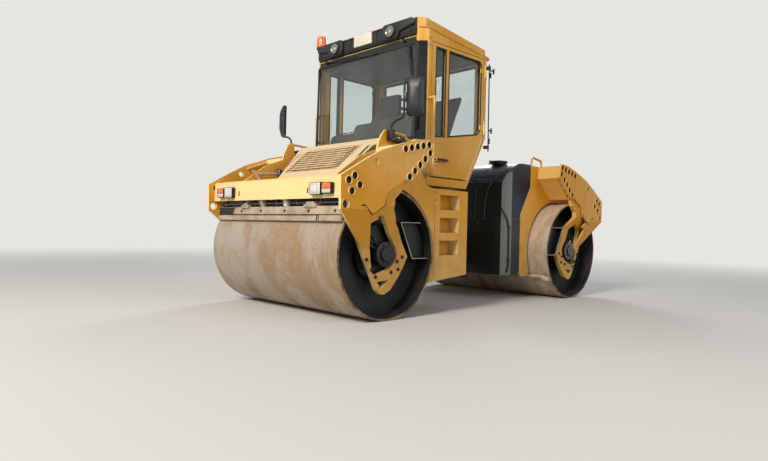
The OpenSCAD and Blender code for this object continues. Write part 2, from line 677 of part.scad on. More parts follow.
// The seat and its steering column stand towards the left door
seat_x = 440;
column_w = 600;
column_at = [-880 + 45 * cos(column_a), dash_z - 30 - 45 * sin(column_a)];
module console() {
    color("#4a4f50") {
        along_x(seat_x - 60 - column_w / 2, column_w) polygon([[-1050, sill_z - 176],
            [-1050, dash_z - 60], [-985, dash_z],
            [-880, dash_z - 30], [-880 + 90 * cos(column_a), dash_z - 30 - 90 * sin(column_a)],
            [-860, floor_z + 160], [-800, floor_z + seat_gap], [-865, floor_z + seat_gap]]);
        along_x(-620, 1240) polygon([[-1050, sill_z - 176], [-1050, dash_z - 200], [-1000, dash_z - 140],
            [-910, dash_z - 165], [-890, sill_z], [-950, sill_z - 176]]);
        along_x(-200, 900) polygon([[-1040, sill_z], [-1040, dash_z - 90], [-990, dash_z - 50],
            [-900, dash_z - 80], [-900, sill_z]]);
        // Display housing on the column
        translate([seat_x - 230, -1045, dash_z - 60]) cube([290, 70, 255]);
    }
}
module steering_wheel() {
    color(black) translate([seat_x, column_at[0], column_at[1]]) rotate([-column_a, 0, 0])
        translate([0, 0, column_l + seat_gap]) {
        rotate_extrude() translate([180, 0]) circle(d = 26, $fn = 20);
        for (a = [90, 210, 330]) rotate([0, 0, a]) translate([0, -14, -7]) cube([182, 28, 14]);
        cylinder(d = 90, h = 24, center = true);
        translate([0, 0, -column_l]) cylinder(d = 50, h = column_l);
    }
}
seat_y = -400;
seat_h = 330;
back_h = 740;
module seat_base() {
    color(black) translate([seat_x, 0, 0]) {
        translate([-200, seat_y - 195, floor_z + seat_gap]) cube([400, 190, seat_h - seat_gap]);
        both_sides() translate([262, seat_y - 150, floor_z + seat_h + 140]) cube([56, 330, 50]);
        both_sides() translate([232, seat_y - 60, floor_z + seat_h - 40]) cube([30, 120, 230]);
        translate([-262, seat_y - 60, floor_z + seat_h - 60]) cube([524, 120, 30]);
    }
}
module seat_cushion() {
    color("#26282a") translate([seat_x - 225, seat_y - 270, floor_z + seat_h + seat_gap])
        cube([450, 410, 110]);
}
module seat_back() {
    color("#26282a") along_x(seat_x - 215, 430) polygon([[seat_y - 20, floor_z + seat_h + 111],
        [seat_y + 65, floor_z + seat_h + 111], [seat_y + 315, floor_z + seat_h + back_h - 20],
        [seat_y + 235, floor_z + seat_h + back_h]]);
}

// Mirrors, grab rails and wipers
mirror_y = -axle_y + 205;
mirror_sweep = 28;
module mirror_set() {
    color(black) {
        translate([side_x + seat_gap, mirror_y - 5, deck_z + 436]) cube([62, 220, 34]);
        translate([side_x + 35, mirror_y + 20, deck_z + 440]) cylinder(d = 56, h = 104);
        bent_tube([for (p = [[35, 500], [35, 590], [90, 630], [190, 645], [206, 680], [206, 1000]])
            [side_x + p[0], mirror_y + 20, deck_z + p[1]]], 22);
        // Housing, turned so that its outer edge lies further back
        translate([side_x + 206, mirror_y + 20, deck_z + 660]) rotate([0, 0, mirror_sweep]) {
            translate([14, -34, 0]) cube([160, 68, 372]);
            translate([-6, -12, 130]) cube([24, 24, 90]);
        }
    }
}
module mirrors() { both_sides() mirror_set(); }
module grab_rails() {
    color(yellow) both_sides()
        bent_tube([for (p = [[seat_gap, -52], [84, -52], [84, -836], [seat_gap, -836]])
            [cab_x + p[0], corner_y + 10, 2242 + p[1]]], 24);
}
// Front face of the windscreen at a height
function glass_y(z) = cab_front + (roof_front - cab_front) * min(1, (z - sill_z) / (head_z - sill_z));
wiper_d = 14;
module wiper(x1, z1, x2, z2) {
    tube_between([x1, glass_y(z1) - wiper_d / 2 - 1, z1], [x2, glass_y(z2) - wiper_d / 2 - 1, z2], wiper_d);
    translate([x1, glass_y(z1) - 20, z1]) rotate([-90, 0, 0]) cylinder(d = 34, h = 20 - seat_gap);
}
module wipers() {
    color(black) {
        wiper(615, head_z + 30, 745, head_z - 335);
        wiper(-650, head_z + 30, 205, head_z - 14);
    }
}

// Pivot: vertical steering pin and the spindle of the swing bearing
module pivot_link() {
    color("#4b4e50") {
        translate([0, 0, pivot_z - pivot_gap / 2 + 1]) cylinder(d = 170, h = pivot_gap - 2);
        translate([0, 0, pivot_z - pivot_gap / 2 - lug_t - 8])
            cylinder(d = pivot_pin_d, h = pivot_gap + 2 * lug_t + 16);
        translate([0, 0, pivot_z]) rotate([-90, 0, 0]) cylinder(d = swing_pin_d, h = 330);
        translate([0, 118, pivot_z]) rotate([-90, 0, 0]) cylinder(d = 230, h = 22);
        // Arm that the steering cylinder's rod turns
        translate([0, 0, arm_low]) cylinder(d = 120, h = cyl_z - 60 + arm_t - arm_low);
        translate([0, 0, cyl_z - 60]) linear_extrude(arm_t) polygon([[-50, -50], [50, -20], [50, 60],
            [rod_pin_at[0] + 10, rod_pin_at[1] + 42], [rod_pin_at[0] - 10, rod_pin_at[1] - 42]]);
        translate([rod_pin_at[0], rod_pin_at[1], cyl_z - 60]) cylinder(r = 42, h = arm_t);
    }
}
arm_t = 35;
arm_low = pivot_z + pivot_gap / 2 + lug_t + 1;
cyl_v = [rod_pin_at[0] - cyl_pin_at[0], rod_pin_at[1] - cyl_pin_at[1]];
cyl_l = norm(cyl_v);
cyl_a = atan2(cyl_v[1], cyl_v[0]);
module steer_barrel() {
    color(black) translate([cyl_pin_at[0], cyl_pin_at[1], cyl_z]) {
        translate([0, 0, -77]) cylinder(d = cyl_pin_d - 0.1, h = 77);
        rotate([0, 0, cyl_a]) {
            translate([0, 0, -24]) cylinder(d = 76, h = 48);
            difference() {
                translate([20, 0, 0]) rotate([0, 90, 0]) cylinder(d = 74, h = cyl_l - 170);
                translate([90, 0, 0]) rotate([0, 90, 0]) cylinder(d = 36.1, h = cyl_l);
            }
        }
    }
}
module steer_rod() {
    color(steel) translate([cyl_pin_at[0], cyl_pin_at[1], cyl_z]) rotate([0, 0, cyl_a]) {
            translate([200, 0, 0]) rotate([0, 90, 0]) cylinder(d = 36, h = cyl_l - 200);
            translate([cyl_l, 0, arm_t - 60 + seat_gap]) cylinder(d = 84, h = 48);
            translate([cyl_l, 0, 20]) cylinder(d = cyl_pin_d, h = 14);
    }
}

// Rear half
spine_w = 360;
spine_z = [400, 840];
tank_front = 590;
tank_back = arch_y - 34;
tank_top_back = tank_back + 75;
tank_z = [310, deck_z + 438];
tank_r = 300;
tank_bevel = 90;
// Front edge of the rear side plates, which the tank's back follows
module rear_plate(e) {
    polygon([[tank_top_back + 5 - e, tank_z[1] - 10], [tank_top_back + 1 - e, deck_z + 158],
        [tank_back - 142 - e, deck_z - 202], [tank_back - 142 - e, 350 - 10 * e],
        [tank_back - 110, 285 - 10 * e], [arch_y + 6, 285 - 10 * e], [arch_y + 456, deck_z - 362],
        [beam_y - 111, deck_z],
        [beam_y - 111, deck_z + 28], [axle_y + 145, deck_z + 258], [axle_y - 240, deck_z + 378],
        [axle_y - 430, tank_z[1] - 10]]);
}
module swing_bore() {
    translate([0, 100, pivot_z]) rotate([-90, 0, 0]) cylinder(d = swing_pin_d + 2 * pivot_play, h = 232);
}
module rear_frame() {
    color(yellow) {
        both_sides() difference() {
            along_x(side_x - plate_t, plate_t) rear_plate(0);
            at_rear() drum_cut();
        }
        at_rear() {
            deck();
            guard_wall(belly_z);
        }
        translate([-side_x + plate_t, arch_y + 68, deck_z - 72])
            cube([frame_w - 2 * plate_t, 19, deck_t + 72]);
        difference() {
            translate([-side_x + plate_t, tank_back + 6, belly_z])
                cube([frame_w - 2 * plate_t, 170, sheet_t]);
            at_rear() drum_cut();
        }
        difference() {
            translate([-spine_w / 2, 290, spine_z[0]])
                cube([spine_w, arch_y - 264, spine_z[1] - spine_z[0]]);
            at_rear() drum_cut();
            swing_bore();
        }
        difference() {
            translate([0, 141, pivot_z]) rotate([-90, 0, 0]) cylinder(d = 270, h = 190);
            swing_bore();
        }
        both_sides()
            bent_tube([for (p = [[10, 428], [20, 518], [50, 538], [226, 512], [250, 480], [254, 393]])
                [side_x - 14, tank_top_back + 17 + p[0], deck_z + p[1]]], 26);
    }
}
module water_tank() {
    color("#22272b") difference() {
        intersection() {
            along_x(-side_x, frame_w) polygon(concat([[tank_back, tank_z[0]], [tank_back, deck_z - 112],
                [tank_top_back, deck_z - 12], [tank_top_back, tank_z[1]]],
                [for (a = [0 : 10 : 90])
                    [tank_front + tank_r * (1 - sin(a)), tank_z[1] - tank_r * (1 - cos(a))]],
                [[tank_front, tank_z[0]]]));
            linear_extrude(2 * tank_z[1]) polygon([[-side_x, tank_top_back + 10],
                [-side_x, tank_front + tank_bevel], [-side_x + tank_bevel, tank_front],
                [side_x - tank_bevel, tank_front], [side_x, tank_front + tank_bevel],
                [side_x, tank_top_back + 10]]);
        }
        translate([-spine_w / 2 - 10, 0, 0]) cube([spine_w + 20, 2000, spine_z[1] + 10]);
        // Room for the side plates and for the loops' feet
        both_sides() along_x(side_x - plate_t - seat_gap, 100) rear_plate(clear_gap);
        both_sides() translate([side_x - plate_t - seat_gap, tank_top_back - 5, deck_z + 140])
            cube([100, 105, tank_z[1] - deck_z - 130]);
    }
}
module tank_cap() {
    color(black) translate([470, 850, tank_z[1] + seat_gap]) {
        cylinder(d = 190, h = 34);
        translate([0, 0, 34]) cylinder(d = 226, h = 30);
    }
}
module tank_covers() {
    color("#2b3034") both_sides() translate([0, 0, tank_z[0]]) linear_extrude(710) polygon([
        [600, tank_front - seat_gap], [side_x - tank_bevel, tank_front - seat_gap],
        [side_x + seat_gap, tank_front + tank_bevel], [side_x + seat_gap, 860], [side_x + 6, 860],
        [side_x + 6, tank_front + tank_bevel - 3], [side_x - tank_bevel + 2, tank_front - 6],
        [600, tank_front - 6]]);
}

front_frame();
step_boxes();
front_yoke_left();
front_yoke_right();
front_beam();
front_lamps();
hood();
engine_block();
front_hubs();
front_guards();
front_drum();
front_scrapers();
cab_mounts();
cab_frame();
cab_roof();
light_bar();
work_lamps();
beacon();
windscreen();
corner_glass();
rear_window();
door_left();
door_right();
door_glass_left();
door_glass_right();
console();
steering_wheel();
seat_base();
seat_cushion();
seat_back();
mirrors();
grab_rails();
wipers();
pivot_link();
steer_barrel();
steer_rod();
rear_frame();
rear_yoke_left();
rear_yoke_right();
rear_beam();
rear_lamps();
water_tank();
tank_cap();
tank_covers();
rear_hubs();
rear_guards();
rear_drum();
rear_scrapers();
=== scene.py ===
# Tandem road roller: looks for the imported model, in metres, in the model's own frame
import bpy, bmesh, json
from math import atan2, cos, exp, pi, radians, sin, sqrt
from mathutils import Matrix, Vector


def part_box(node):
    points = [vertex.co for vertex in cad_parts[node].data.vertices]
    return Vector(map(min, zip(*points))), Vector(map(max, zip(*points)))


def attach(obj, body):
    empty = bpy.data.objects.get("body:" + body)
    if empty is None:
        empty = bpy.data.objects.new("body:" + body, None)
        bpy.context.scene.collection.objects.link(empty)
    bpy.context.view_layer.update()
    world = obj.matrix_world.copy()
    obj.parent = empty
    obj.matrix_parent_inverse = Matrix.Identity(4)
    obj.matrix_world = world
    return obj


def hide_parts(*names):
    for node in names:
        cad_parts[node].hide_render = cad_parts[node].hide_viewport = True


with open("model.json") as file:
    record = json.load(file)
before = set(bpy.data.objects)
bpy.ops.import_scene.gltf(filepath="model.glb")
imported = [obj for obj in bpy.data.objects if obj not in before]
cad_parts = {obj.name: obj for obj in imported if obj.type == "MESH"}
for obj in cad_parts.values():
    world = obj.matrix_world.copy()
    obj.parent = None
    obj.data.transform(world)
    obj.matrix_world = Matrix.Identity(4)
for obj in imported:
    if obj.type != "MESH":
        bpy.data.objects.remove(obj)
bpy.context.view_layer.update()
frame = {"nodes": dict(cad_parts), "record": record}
nodes = frame["nodes"]
# The drums' axles: how far they stand from the steering pivot, and how high
axleAway, axleHeight = 1.68, 0.61


# Shader helpers
def srgb(text):
    values = [int(text[i:i + 2], 16) / 255 for i in (1, 3, 5)]
    return [v / 12.92 if v <= 0.04045 else ((v + 0.055) / 1.055) ** 2.4 for v in values] + [1.0]


def addNode(tree, kind, settings=None, **links):
    # Sockets by name (Base_Color) or number (i0); a colour may be given as "#rrggbb"
    prefix = "" if kind.startswith(("Geometry", "Function")) else "ShaderNode"
    made = tree.nodes.new(prefix + kind)
    for name, value in (settings or {}).items():
        setattr(made, name, value)
    for name, value in links.items():
        socket = made.inputs[int(name[1:])] if name[1:].isdigit() else made.inputs[name.replace("_", " ")]
        if isinstance(value, bpy.types.NodeSocket):
            tree.links.new(value, socket)
        else:
            socket.default_value = srgb(value) if str(value).startswith("#") else value
    return made


def blank(name):
    mat = bpy.data.materials.new(name)
    mat.use_nodes = True
    mat.node_tree.nodes.clear()
    return mat, mat.node_tree


def calc(tree, operation, a, b=0.0, clamp=False):
    return addNode(tree, "Math", {"operation": operation, "use_clamp": clamp}, i0=a, i1=b).outputs[0]


def times(tree, a, b, clamp=False):
    return calc(tree, "MULTIPLY", a, b, clamp)


def plus(tree, a, b, clamp=False):
    return calc(tree, "ADD", a, b, clamp)


def ramp(tree, value, low, high, outLow=0.0, outHigh=1.0):
    return addNode(tree, "MapRange", {"interpolation_type": "SMOOTHSTEP"}, i0=value, i1=low, i2=high,
                   i3=outLow, i4=outHigh).outputs[0]


def mix(tree, factor, a, b):
    return addNode(tree, "Mix", {"data_type": "RGBA"}, i0=factor, i6=a, i7=b).outputs[2]


def shade(text, share):
    return [c * share for c in srgb(text)[:3]] + [1]


def noise(tree, where, scale, detail=3.0, rough=0.55, distortion=0.0):
    return addNode(tree, "TexNoise", Vector=where, Scale=scale, Detail=detail, Roughness=rough,
                   Distortion=distortion).outputs["Fac"]


def stretched(tree, where, scale):
    return addNode(tree, "Mapping", Vector=where, Scale=scale).outputs[0]


def streaks(tree, where, stretch, detail, rough, distortion=0.0):
    return noise(tree, stretched(tree, where, stretch), 1.0, detail, rough, distortion)


def layers(tree, base, *coats):
    # Coats over a base colour, each a mask and its colour
    for mask, colour in coats:
        base = mix(tree, mask, base, colour)
    return base


def waves(tree, where, direction, scale):
    return addNode(tree, "TexWave", {"bands_direction": direction}, Vector=where, Scale=scale).outputs["Fac"]


def objectPlace(tree):
    return addNode(tree, "TexCoord").outputs["Object"]


def parts(tree, vector):
    return addNode(tree, "SeparateXYZ", i0=vector).outputs


def normalParts(tree):
    return parts(tree, addNode(tree, "NewGeometry").outputs["Normal"])


def finish(tree, surface):
    tree.links.new(surface, addNode(tree, "OutputMaterial").inputs["Surface"])


def skin(mat, tree, **links):
    finish(tree, addNode(tree, "BsdfPrincipled", **links).outputs[0])
    return mat


def bevelNormal(tree, radius):
    return addNode(tree, "Bevel", {"samples": 4}, Radius=radius).outputs[0]


def rounded(tree, height, strength, distance, radius):
    # The edge-rounding normal with a fine bump on it
    return addNode(tree, "Bump", Strength=strength, Distance=distance, Height=height,
                   Normal=bevelNormal(tree, radius)).outputs[0]


def wornEdge(tree, radius):
    # 1 where a bevel of this radius would turn the surface, 0 on flats
    flat = addNode(tree, "NewGeometry").outputs["Normal"]
    same = addNode(tree, "VectorMath", {"operation": "DOT_PRODUCT"}, i0=bevelNormal(tree, radius), i1=flat)
    return ramp(tree, same.outputs["Value"], 0.995, 0.93)


# Sprayed enamel on steel: satin, painted paler as sunlight where it faces the front and up, dusty low down,
# chipped on edges
def paint(name, colour, fadedAndLit, values):
    mat, t = blank(name)
    v = {"rough": 0.4, "dust": 0.5, "paintedSun": 0.5, "grime": 0.5, "chips": 0.5, "dustColour": "#c9ab7c",
         "grimeColour": "#5a3a12", "radius": 0.004, "low": 1.0, "edges": 0.35}
    v.update(values)
    where = objectPlace(t)
    xyz, normal = parts(t, where), normalParts(t)
    cloud = noise(t, where, 6.0, 6, 0.6)
    # Painted sunlight: faces towards the front and up take the pale colour, the low front beam most, the cab
    # and the rear half least
    front = calc(t, "MAXIMUM", times(t, normal[1], -1.0), normal[2])
    paintedSunReach = times(t, ramp(t, xyz[2], 2.4, 1.7, 0.3, 1.0), ramp(t, xyz[1], 0.6, -0.6, 0.4, 1.0))
    front = times(t, times(t, ramp(t, front, 0.3, 0.95), paintedSunReach), v["paintedSun"])
    # Dust lies on what faces up, and mud is thrown up low down
    top = times(t, ramp(t, normal[2], 0.75, 1.0), ramp(t, cloud, 0.35, 0.7))
    low = times(t, ramp(t, xyz[2], v["low"], 0.3), ramp(t, cloud, 0.38, 0.68, 0.2, 0.85))
    dust = times(t, calc(t, "MAXIMUM", top, low), v["dust"], clamp=True)
    # Run marks down the upright faces
    upright = ramp(t, calc(t, "ABSOLUTE", normal[2]), 0.7, 0.2)
    runs = times(t, ramp(t, streaks(t, where, (26, 26, 1.6), 4, 0.6), 0.56, 0.74), upright)
    # Small scrapes, and paint worn off the edges
    patch = ramp(t, noise(t, where, 2.4, 2), 0.56, 0.66)
    scrape = times(t, ramp(t, streaks(t, where, (7, 9, 60), 5, 0.65), 0.66, 0.7), patch)
    bare = times(t, ramp(t, noise(t, where, 38.0, 4, 0.7), 0.5, 0.62), wornEdge(t, 0.005))
    base = mix(t, ramp(t, noise(t, where, 1.3, 4), 0.35, 0.7, 0.0, 0.22), colour, fadedAndLit)
    grime = v["grimeColour"]
    base = layers(t, base, (front, fadedAndLit), (times(t, low, 0.55), grime), (dust, v["dustColour"]),
                  (times(t, runs, v["grime"] * 0.45), grime), (times(t, scrape, v["chips"]), grime),
                  (times(t, bare, v["edges"]), "#6e4a24"))
    rough = plus(t, times(t, cloud, 0.22), times(t, dust, 0.35))
    rough = plus(t, rough, v["rough"] - 0.1, clamp=True)
    height = plus(t, times(t, noise(t, where, 240.0, 2), 0.05), noise(t, where, 9.0, 2))
    return skin(mat, t, Base_Color=base, Roughness=rough, IOR=1.5, Specular_IOR_Level=0.35,
                Normal=rounded(t, height, 0.12, 0.004, v["radius"]))


# A moulded, cast or painted part: fine grain, some dust on what faces up, uneven sheen
def plain(name, colour, rough, values=None):
    mat, t = blank(name)
    v = {"metal": 0.0, "dust": 0.25, "dustColour": "#8d8272", "grain": 500.0, "bump": 0.15, "radius": 0.003,
         "vary": 0.25, "deep": 0.0006}
    v.update(values or {})
    where, normal = objectPlace(t), normalParts(t)
    cloud = noise(t, where, 5.0, 6, 0.6)
    base = mix(t, ramp(t, cloud, 0.35, 0.65), shade(colour, 1 - v["vary"]), colour)
    top = ramp(t, normal[2], 0.3, 1.0, 0.12, 1.0)
    dust = times(t, times(t, top, ramp(t, cloud, 0.4, 0.65, 0.25, 1.0)), v["dust"])
    base = mix(t, dust, base, v["dustColour"])
    wipe = noise(t, stretched(t, where, (3, 3, 14)), 2.0, 4)
    roughness = plus(t, plus(t, times(t, wipe, 0.16), rough - 0.08),
                     times(t, dust, 0.4), clamp=True)
    return skin(mat, t, Base_Color=base, Roughness=roughness, Metallic=v["metal"],
                Normal=rounded(t, noise(t, where, v["grain"], 2), v["bump"], v["deep"], v["radius"]))


# Flat safety glass: clear, a little green, mirrors more at a glancing view, thin dusty film
def clearGlass(name, tint, film=0.1):
    mat, t = blank(name)
    smear = noise(t, stretched(t, objectPlace(t), (5, 5, 2)), 1.2, 5)
    facing = addNode(t, "LayerWeight", Blend=0.5).outputs["Facing"]
    mirror = plus(t, times(t, calc(t, "POWER", facing, 4.0), 0.8), 0.035)
    through = addNode(t, "BsdfTransparent", Color=tint).outputs[0]
    shine = addNode(t, "BsdfGlossy", Color=(0.95, 0.97, 1.0, 1), Roughness=0.02).outputs[0]
    dusty = addNode(t, "BsdfDiffuse", Color="#b9b8b0").outputs[0]
    body = addNode(t, "MixShader", i0=ramp(t, smear, 0.45, 0.75, 0.006, film), i1=through,
                   i2=dusty).outputs[0]
    finish(t, addNode(t, "MixShader", i0=mirror, i1=body, i2=shine).outputs[0])
    return mat


# A pressed lens, drawn opaque: thick coloured plastic, whose pale colour on the clear lenses is a painted
# reflection of the silvered bowl behind, with fine prisms
def lens(name, colour, across, rough=0.12):
    mat, t = blank(name)
    where = objectPlace(t)
    # Prism pitch 6 mm
    prisms = waves(t, where, across, 26.0)
    spots = noise(t, where, 60.0, 2)
    base = mix(t, times(t, plus(t, prisms, spots), 0.5), shade(colour, 0.62), colour)
    bump = addNode(t, "Bump", Strength=0.5, Distance=0.002, Height=prisms).outputs[0]
    return skin(mat, t, Base_Color=base, Roughness=rough, IOR=1.49, Coat_Weight=0.6, Normal=bump)


# Rolled steel shell, ground by the road: bright bands, brown mud and rust; black paint in the ends, drawn
# near black as painted shade
def drumSteel(name, axleY, worn, bright):
    mat, t = blank(name)
    where = objectPlace(t)
    xyz = parts(t, where)
    y, z = calc(t, "SUBTRACT", xyz[1], axleY), calc(t, "SUBTRACT", xyz[2], axleHeight)
    radius = calc(t, "SQRT", plus(t, times(t, y, y), times(t, z, z)))
    bands = streaks(t, where, (7, 0.5, 0.5), 5, 0.65)
    fine = streaks(t, where, (60, 3, 3), 4, 0.7)
    blotch = streaks(t, where, (2.2, 1.1, 1.1), 7, 0.62, 0.5)
    drips = streaks(t, where, (11, 2.2, 2.2), 6, 0.62, 0.8)
    speck = noise(t, where, 26.0, 5, 0.7)
    mud = times(t, ramp(t, blotch, 0.44, 0.58), ramp(t, speck, 0.3, 0.55, 0.45, 1.0))
    stains = times(t, ramp(t, drips, 0.53, 0.64), ramp(t, blotch, 0.38, 0.55))
    dark = times(t, ramp(t, drips, 0.42, 0.33), ramp(t, speck, 0.4, 0.6))
    steel = layers(t, mix(t, bands, worn, bright), (times(t, fine, 0.35), "#655545"),
                   (times(t, mud, 0.7), "#86653f"), (times(t, stains, 0.6), "#96723f"),
                   (times(t, dark, 0.4), "#4d3d2d"))
    # Black paint inside the shell, darkened further as painted shade and nearly free of dust, and a rusty rim
    # round its end
    inside = ramp(t, radius, 0.604, 0.6015)
    rim = times(t, ramp(t, radius, 0.588, 0.594), ramp(t, calc(t, "ABSOLUTE", xyz[0]), 1.062, 1.066))
    inDust = ramp(t, noise(t, where, 7.0, 6, 0.6), 0.42, 0.7)
    black = mix(t, times(t, inDust, 0.08), "#070808", "#5a5144")
    rimColour = mix(t, ramp(t, noise(t, where, 9.0, 4), 0.4, 0.6), "#94724a", "#473a2e")
    colour = mix(t, rim, mix(t, inside, steel, black), rimColour)
    metal = times(t, calc(t, "SUBTRACT", 1.0, inside),
                 calc(t, "SUBTRACT", 0.4, times(t, mud, 0.32)), clamp=True)
    rough = plus(t, plus(t, times(t, bands, 0.2), 0.28),
                 plus(t, times(t, mud, 0.3), times(t, inside, 0.15)), clamp=True)
    height = plus(t, times(t, fine, 0.3), times(t, mud, 0.6))
    return skin(mat, t, Base_Color=colour, Roughness=rough, Metallic=metal,
                Normal=rounded(t, height, 0.35, 0.002, 0.003))


# Moulded tank: blue-black, washed dark on its flats, a painted pale highlight down the bevelled corners, and
# pale dust on what faces up
def tankShell(name, colour):
    mat, t = blank(name)
    where = objectPlace(t)
    xyz, normal = parts(t, where), normalParts(t)
    cloud = noise(t, where, 4.0, 6, 0.6)
    streak = streaks(t, where, (22, 22, 1.3), 5, 0.6)
    # Painted highlight: the rounded corners between front and side, below the top, are painted pale grey with
    # streaks through it
    across = times(t, calc(t, "ABSOLUTE", normal[0]), calc(t, "ABSOLUTE", normal[1]))
    ragged = plus(t, xyz[2], times(t, noise(t, where, 9.0, 5, 0.7), 0.22))
    bevel = times(t, ramp(t, across, 0.3, 0.45), ramp(t, ragged, 1.72, 1.66))
    bevel = times(t, bevel, ramp(t, streak, 0.25, 0.6, 0.5, 0.95))
    top = times(t, ramp(t, normal[2], 0.6, 1.0), ramp(t, cloud, 0.4, 0.7, 0.05, 0.4))
    dust = calc(t, "MAXIMUM", top, times(t, ramp(t, streak, 0.55, 0.75), 0.05))
    base = mix(t, ramp(t, cloud, 0.35, 0.65), shade(colour, 0.7), colour)
    base = layers(t, base, (bevel, "#74726b"), (dust, "#8a877d"))
    rough = plus(t, times(t, cloud, 0.2), plus(t, 0.26, times(t, bevel, 0.3)))
    return skin(mat, t, Base_Color=base, Roughness=rough, Specular_Tint=(0.55, 0.78, 1.0, 1.0),
                Normal=rounded(t, noise(t, where, 90.0, 2), 0.1, 0.0008, 0.012))


# Woven seat cloth: 2 mm threads over and under, drawn twice as coarse so that they show
def seatCloth(name, colour):
    mat, t = blank(name)
    where = objectPlace(t)
    rows, cross, depth = [waves(t, where, axis, 80.0) for axis in "XZY"]
    weave = times(t, rows, calc(t, "MAXIMUM", cross, depth))
    fuzz = noise(t, where, 700.0, 2)
    base = mix(t, weave, "#131416", colour)
    base = mix(t, ramp(t, noise(t, where, 8.0, 4), 0.5, 0.8, 0.0, 0.3), base, "#6d6558")
    height = plus(t, weave, times(t, fuzz, 0.4))
    bump = addNode(t, "Bump", Strength=0.4, Distance=0.001, Height=height).outputs[0]
    return skin(mat, t, Base_Color=base, Roughness=0.88, Sheen_Weight=0.25, Normal=bump)


mats = {
    # The enamels' second colour is used for random fading and also as painted sunlight on faces to the front
    # and up
    "yellow": paint("yellow_enamel", "#ca8a10", "#eddc9f", {"paintedSun": 0.75, "dustColour": "#c6a264"}),
    "hood": paint("hood_enamel", "#c9aa80", "#dfc7a2", {"paintedSun": 0.6, "chips": 0.2, "grime": 0.3}),
    # Black paint is drawn darker than real black paint and kept nearly free of dust: painted shade, most of
    # all on the carriers deep in the drums' ends
    "black": plain("black_paint", "#0a0b0b", 0.45, {"dust": 0.07}),
    "rubber": plain("black_rubber", "#0c0c0d", 0.62, {"dust": 0.07}),
    "plastic": plain("black_plastic", "#0e0f11", 0.46, {"dust": 0.06}),
    "grey": plain("grey_metal", "#4a4d50", 0.5),
    "trim": plain("grained_grey_plastic", "#2f3230", 0.6, {"grain": 420.0, "bump": 0.2, "dust": 0.12}),
    "tank": tankShell("tank_plastic", "#08131f"),
    "cover": tankShell("cover_paint", "#1b1e21"),
    "scraper": plain("dusty_steel", "#ac9a83", 0.55, {"dust": 0.75, "dustColour": "#d8c2a5", "vary": 0.35}),
    "bolt": plain("zinc_bolts", "#8c7a62", 0.38, {"metal": 0.75, "dust": 0.3, "vary": 0.5}),
    "rust": plain("rusty_bolts", "#6b3d1c", 0.7, {"dust": 0.2, "vary": 0.6}),
    "edge": plain("pale_edge", "#b5b2aa", 0.4, {"metal": 0.3, "dust": 0.1}),
    "chrome": plain("bright_rod", "#c8c9cc", 0.12, {"metal": 1.0, "dust": 0.0}),
    "silver": plain("silvered_bowl", "#b4b2ac", 0.2, {"metal": 1.0, "dust": 0.0, "vary": 0.3}),
    "mirror": plain("mirror_glass", "#c5ccd0", 0.04, {"metal": 1.0, "dust": 0.0, "vary": 0.02, "bump": 0.0}),
    "white": plain("white_plate", "#d3ccbf", 0.45, {"dust": 0.1, "vary": 0.04}),
    "screen": plain("display_glass", "#0d1214", 0.12, {"dust": 0.05}),
    "blue": plain("blue_pipe", "#3c5a86", 0.35, {"dust": 0.25}),
    "cloth": seatCloth("seat_cloth", "#1f2022"),
    "glass": clearGlass("clear_glass", "#f6f9f8", 0.03),
    "smoked": clearGlass("side_glass", "#eff4f3", 0.03),
    "corner": clearGlass("corner_glass", "#59605f", 0.03),
    "amber": lens("amber_lens", "#f0701e", "X"),
    "dome": lens("amber_dome", "#f2731c", "Z"),
    # Clear lenses are drawn opaque and pale: painted reflection of the silvered bowls behind them
    "lens": lens("clear_lens", "#d6d0c4", "X", 0.08),
    "headlamp": lens("headlamp_lens", "#f4efe6", "X", 0.06),
    "bulb": clearGlass("lamp_cover", "#f2f2ee", 0.02),
    # The same rolled steel in two shades: drawn darker on the front drum as painted shade and paler on the
    # rear drum as painted light
    "frontDrum": drumSteel("rolled_steel_front", -axleAway, "#9d8c7a", "#cfc1ae"),
    "rearDrum": drumSteel("rolled_steel_rear", axleAway, "#c0ae98", "#ece0cf"),
}
slotMats = {"yellow_paint": "yellow", "hood_paint": "hood", "black_paint": "black", "grey_metal": "grey",
            "drum_steel": "frontDrum", "scraper_steel": "scraper", "rod_chrome": "chrome",
            "lamp_lens": "lens", "work_lens": "lens", "amber_lens": "amber", "glass": "glass",
            "rubber_black": "rubber", "black_plastic": "plastic", "grey_plastic": "trim",
            "tank_plastic": "tank", "seat_cloth": "cloth"}


def dress(name, key):
    obj = nodes[name]
    if not obj.material_slots:
        obj.data.materials.append(mats[key])
    for slot in obj.material_slots:
        slot.material = mats[key]


for part in frame["record"]["subparts"]:
    dress(part["node"], slotMats[part["material_slot"]])
for name, key in (("rear_drum", "rearDrum"), ("tank_covers", "cover"), ("corner_glass", "corner"),
                  ("door_glass_left", "smoked"), ("door_glass_right", "smoked")):
    dress(name, key)
print("materials done")


# Ways a turned part may face
facingUp, facingOut, facingFront = (0, 0, 1), (1, 0, 0), (0, -1, 0)


# Mesh helpers
def paintFaces(bm, verts, mat):
    faces = {f for v in verts for f in v.link_faces}
    for face in faces:
        face.material_index = mat
    return list(faces)


def soften(bm, verts, size):
    edges = {e for v in verts for e in v.link_edges}
    bmesh.ops.bevel(bm, geom=list(edges), offset=size, segments=2, profile=0.5, affect="EDGES",
                    clamp_overlap=True)


def bridge(bm, a, b, mat=0):
    # Faces between two closed rings, either of which may be a single point
    for i in range(max(len(a), len(b))):
        corners = dict.fromkeys((a[i % len(a)], a[(i + 1) % len(a)], b[(i + 1) % len(b)], b[i % len(b)]))
        if len(corners) > 2:
            bm.faces.new(list(corners)).material_index = mat


def around(count):
    return [2 * pi * k / count for k in range(count)]


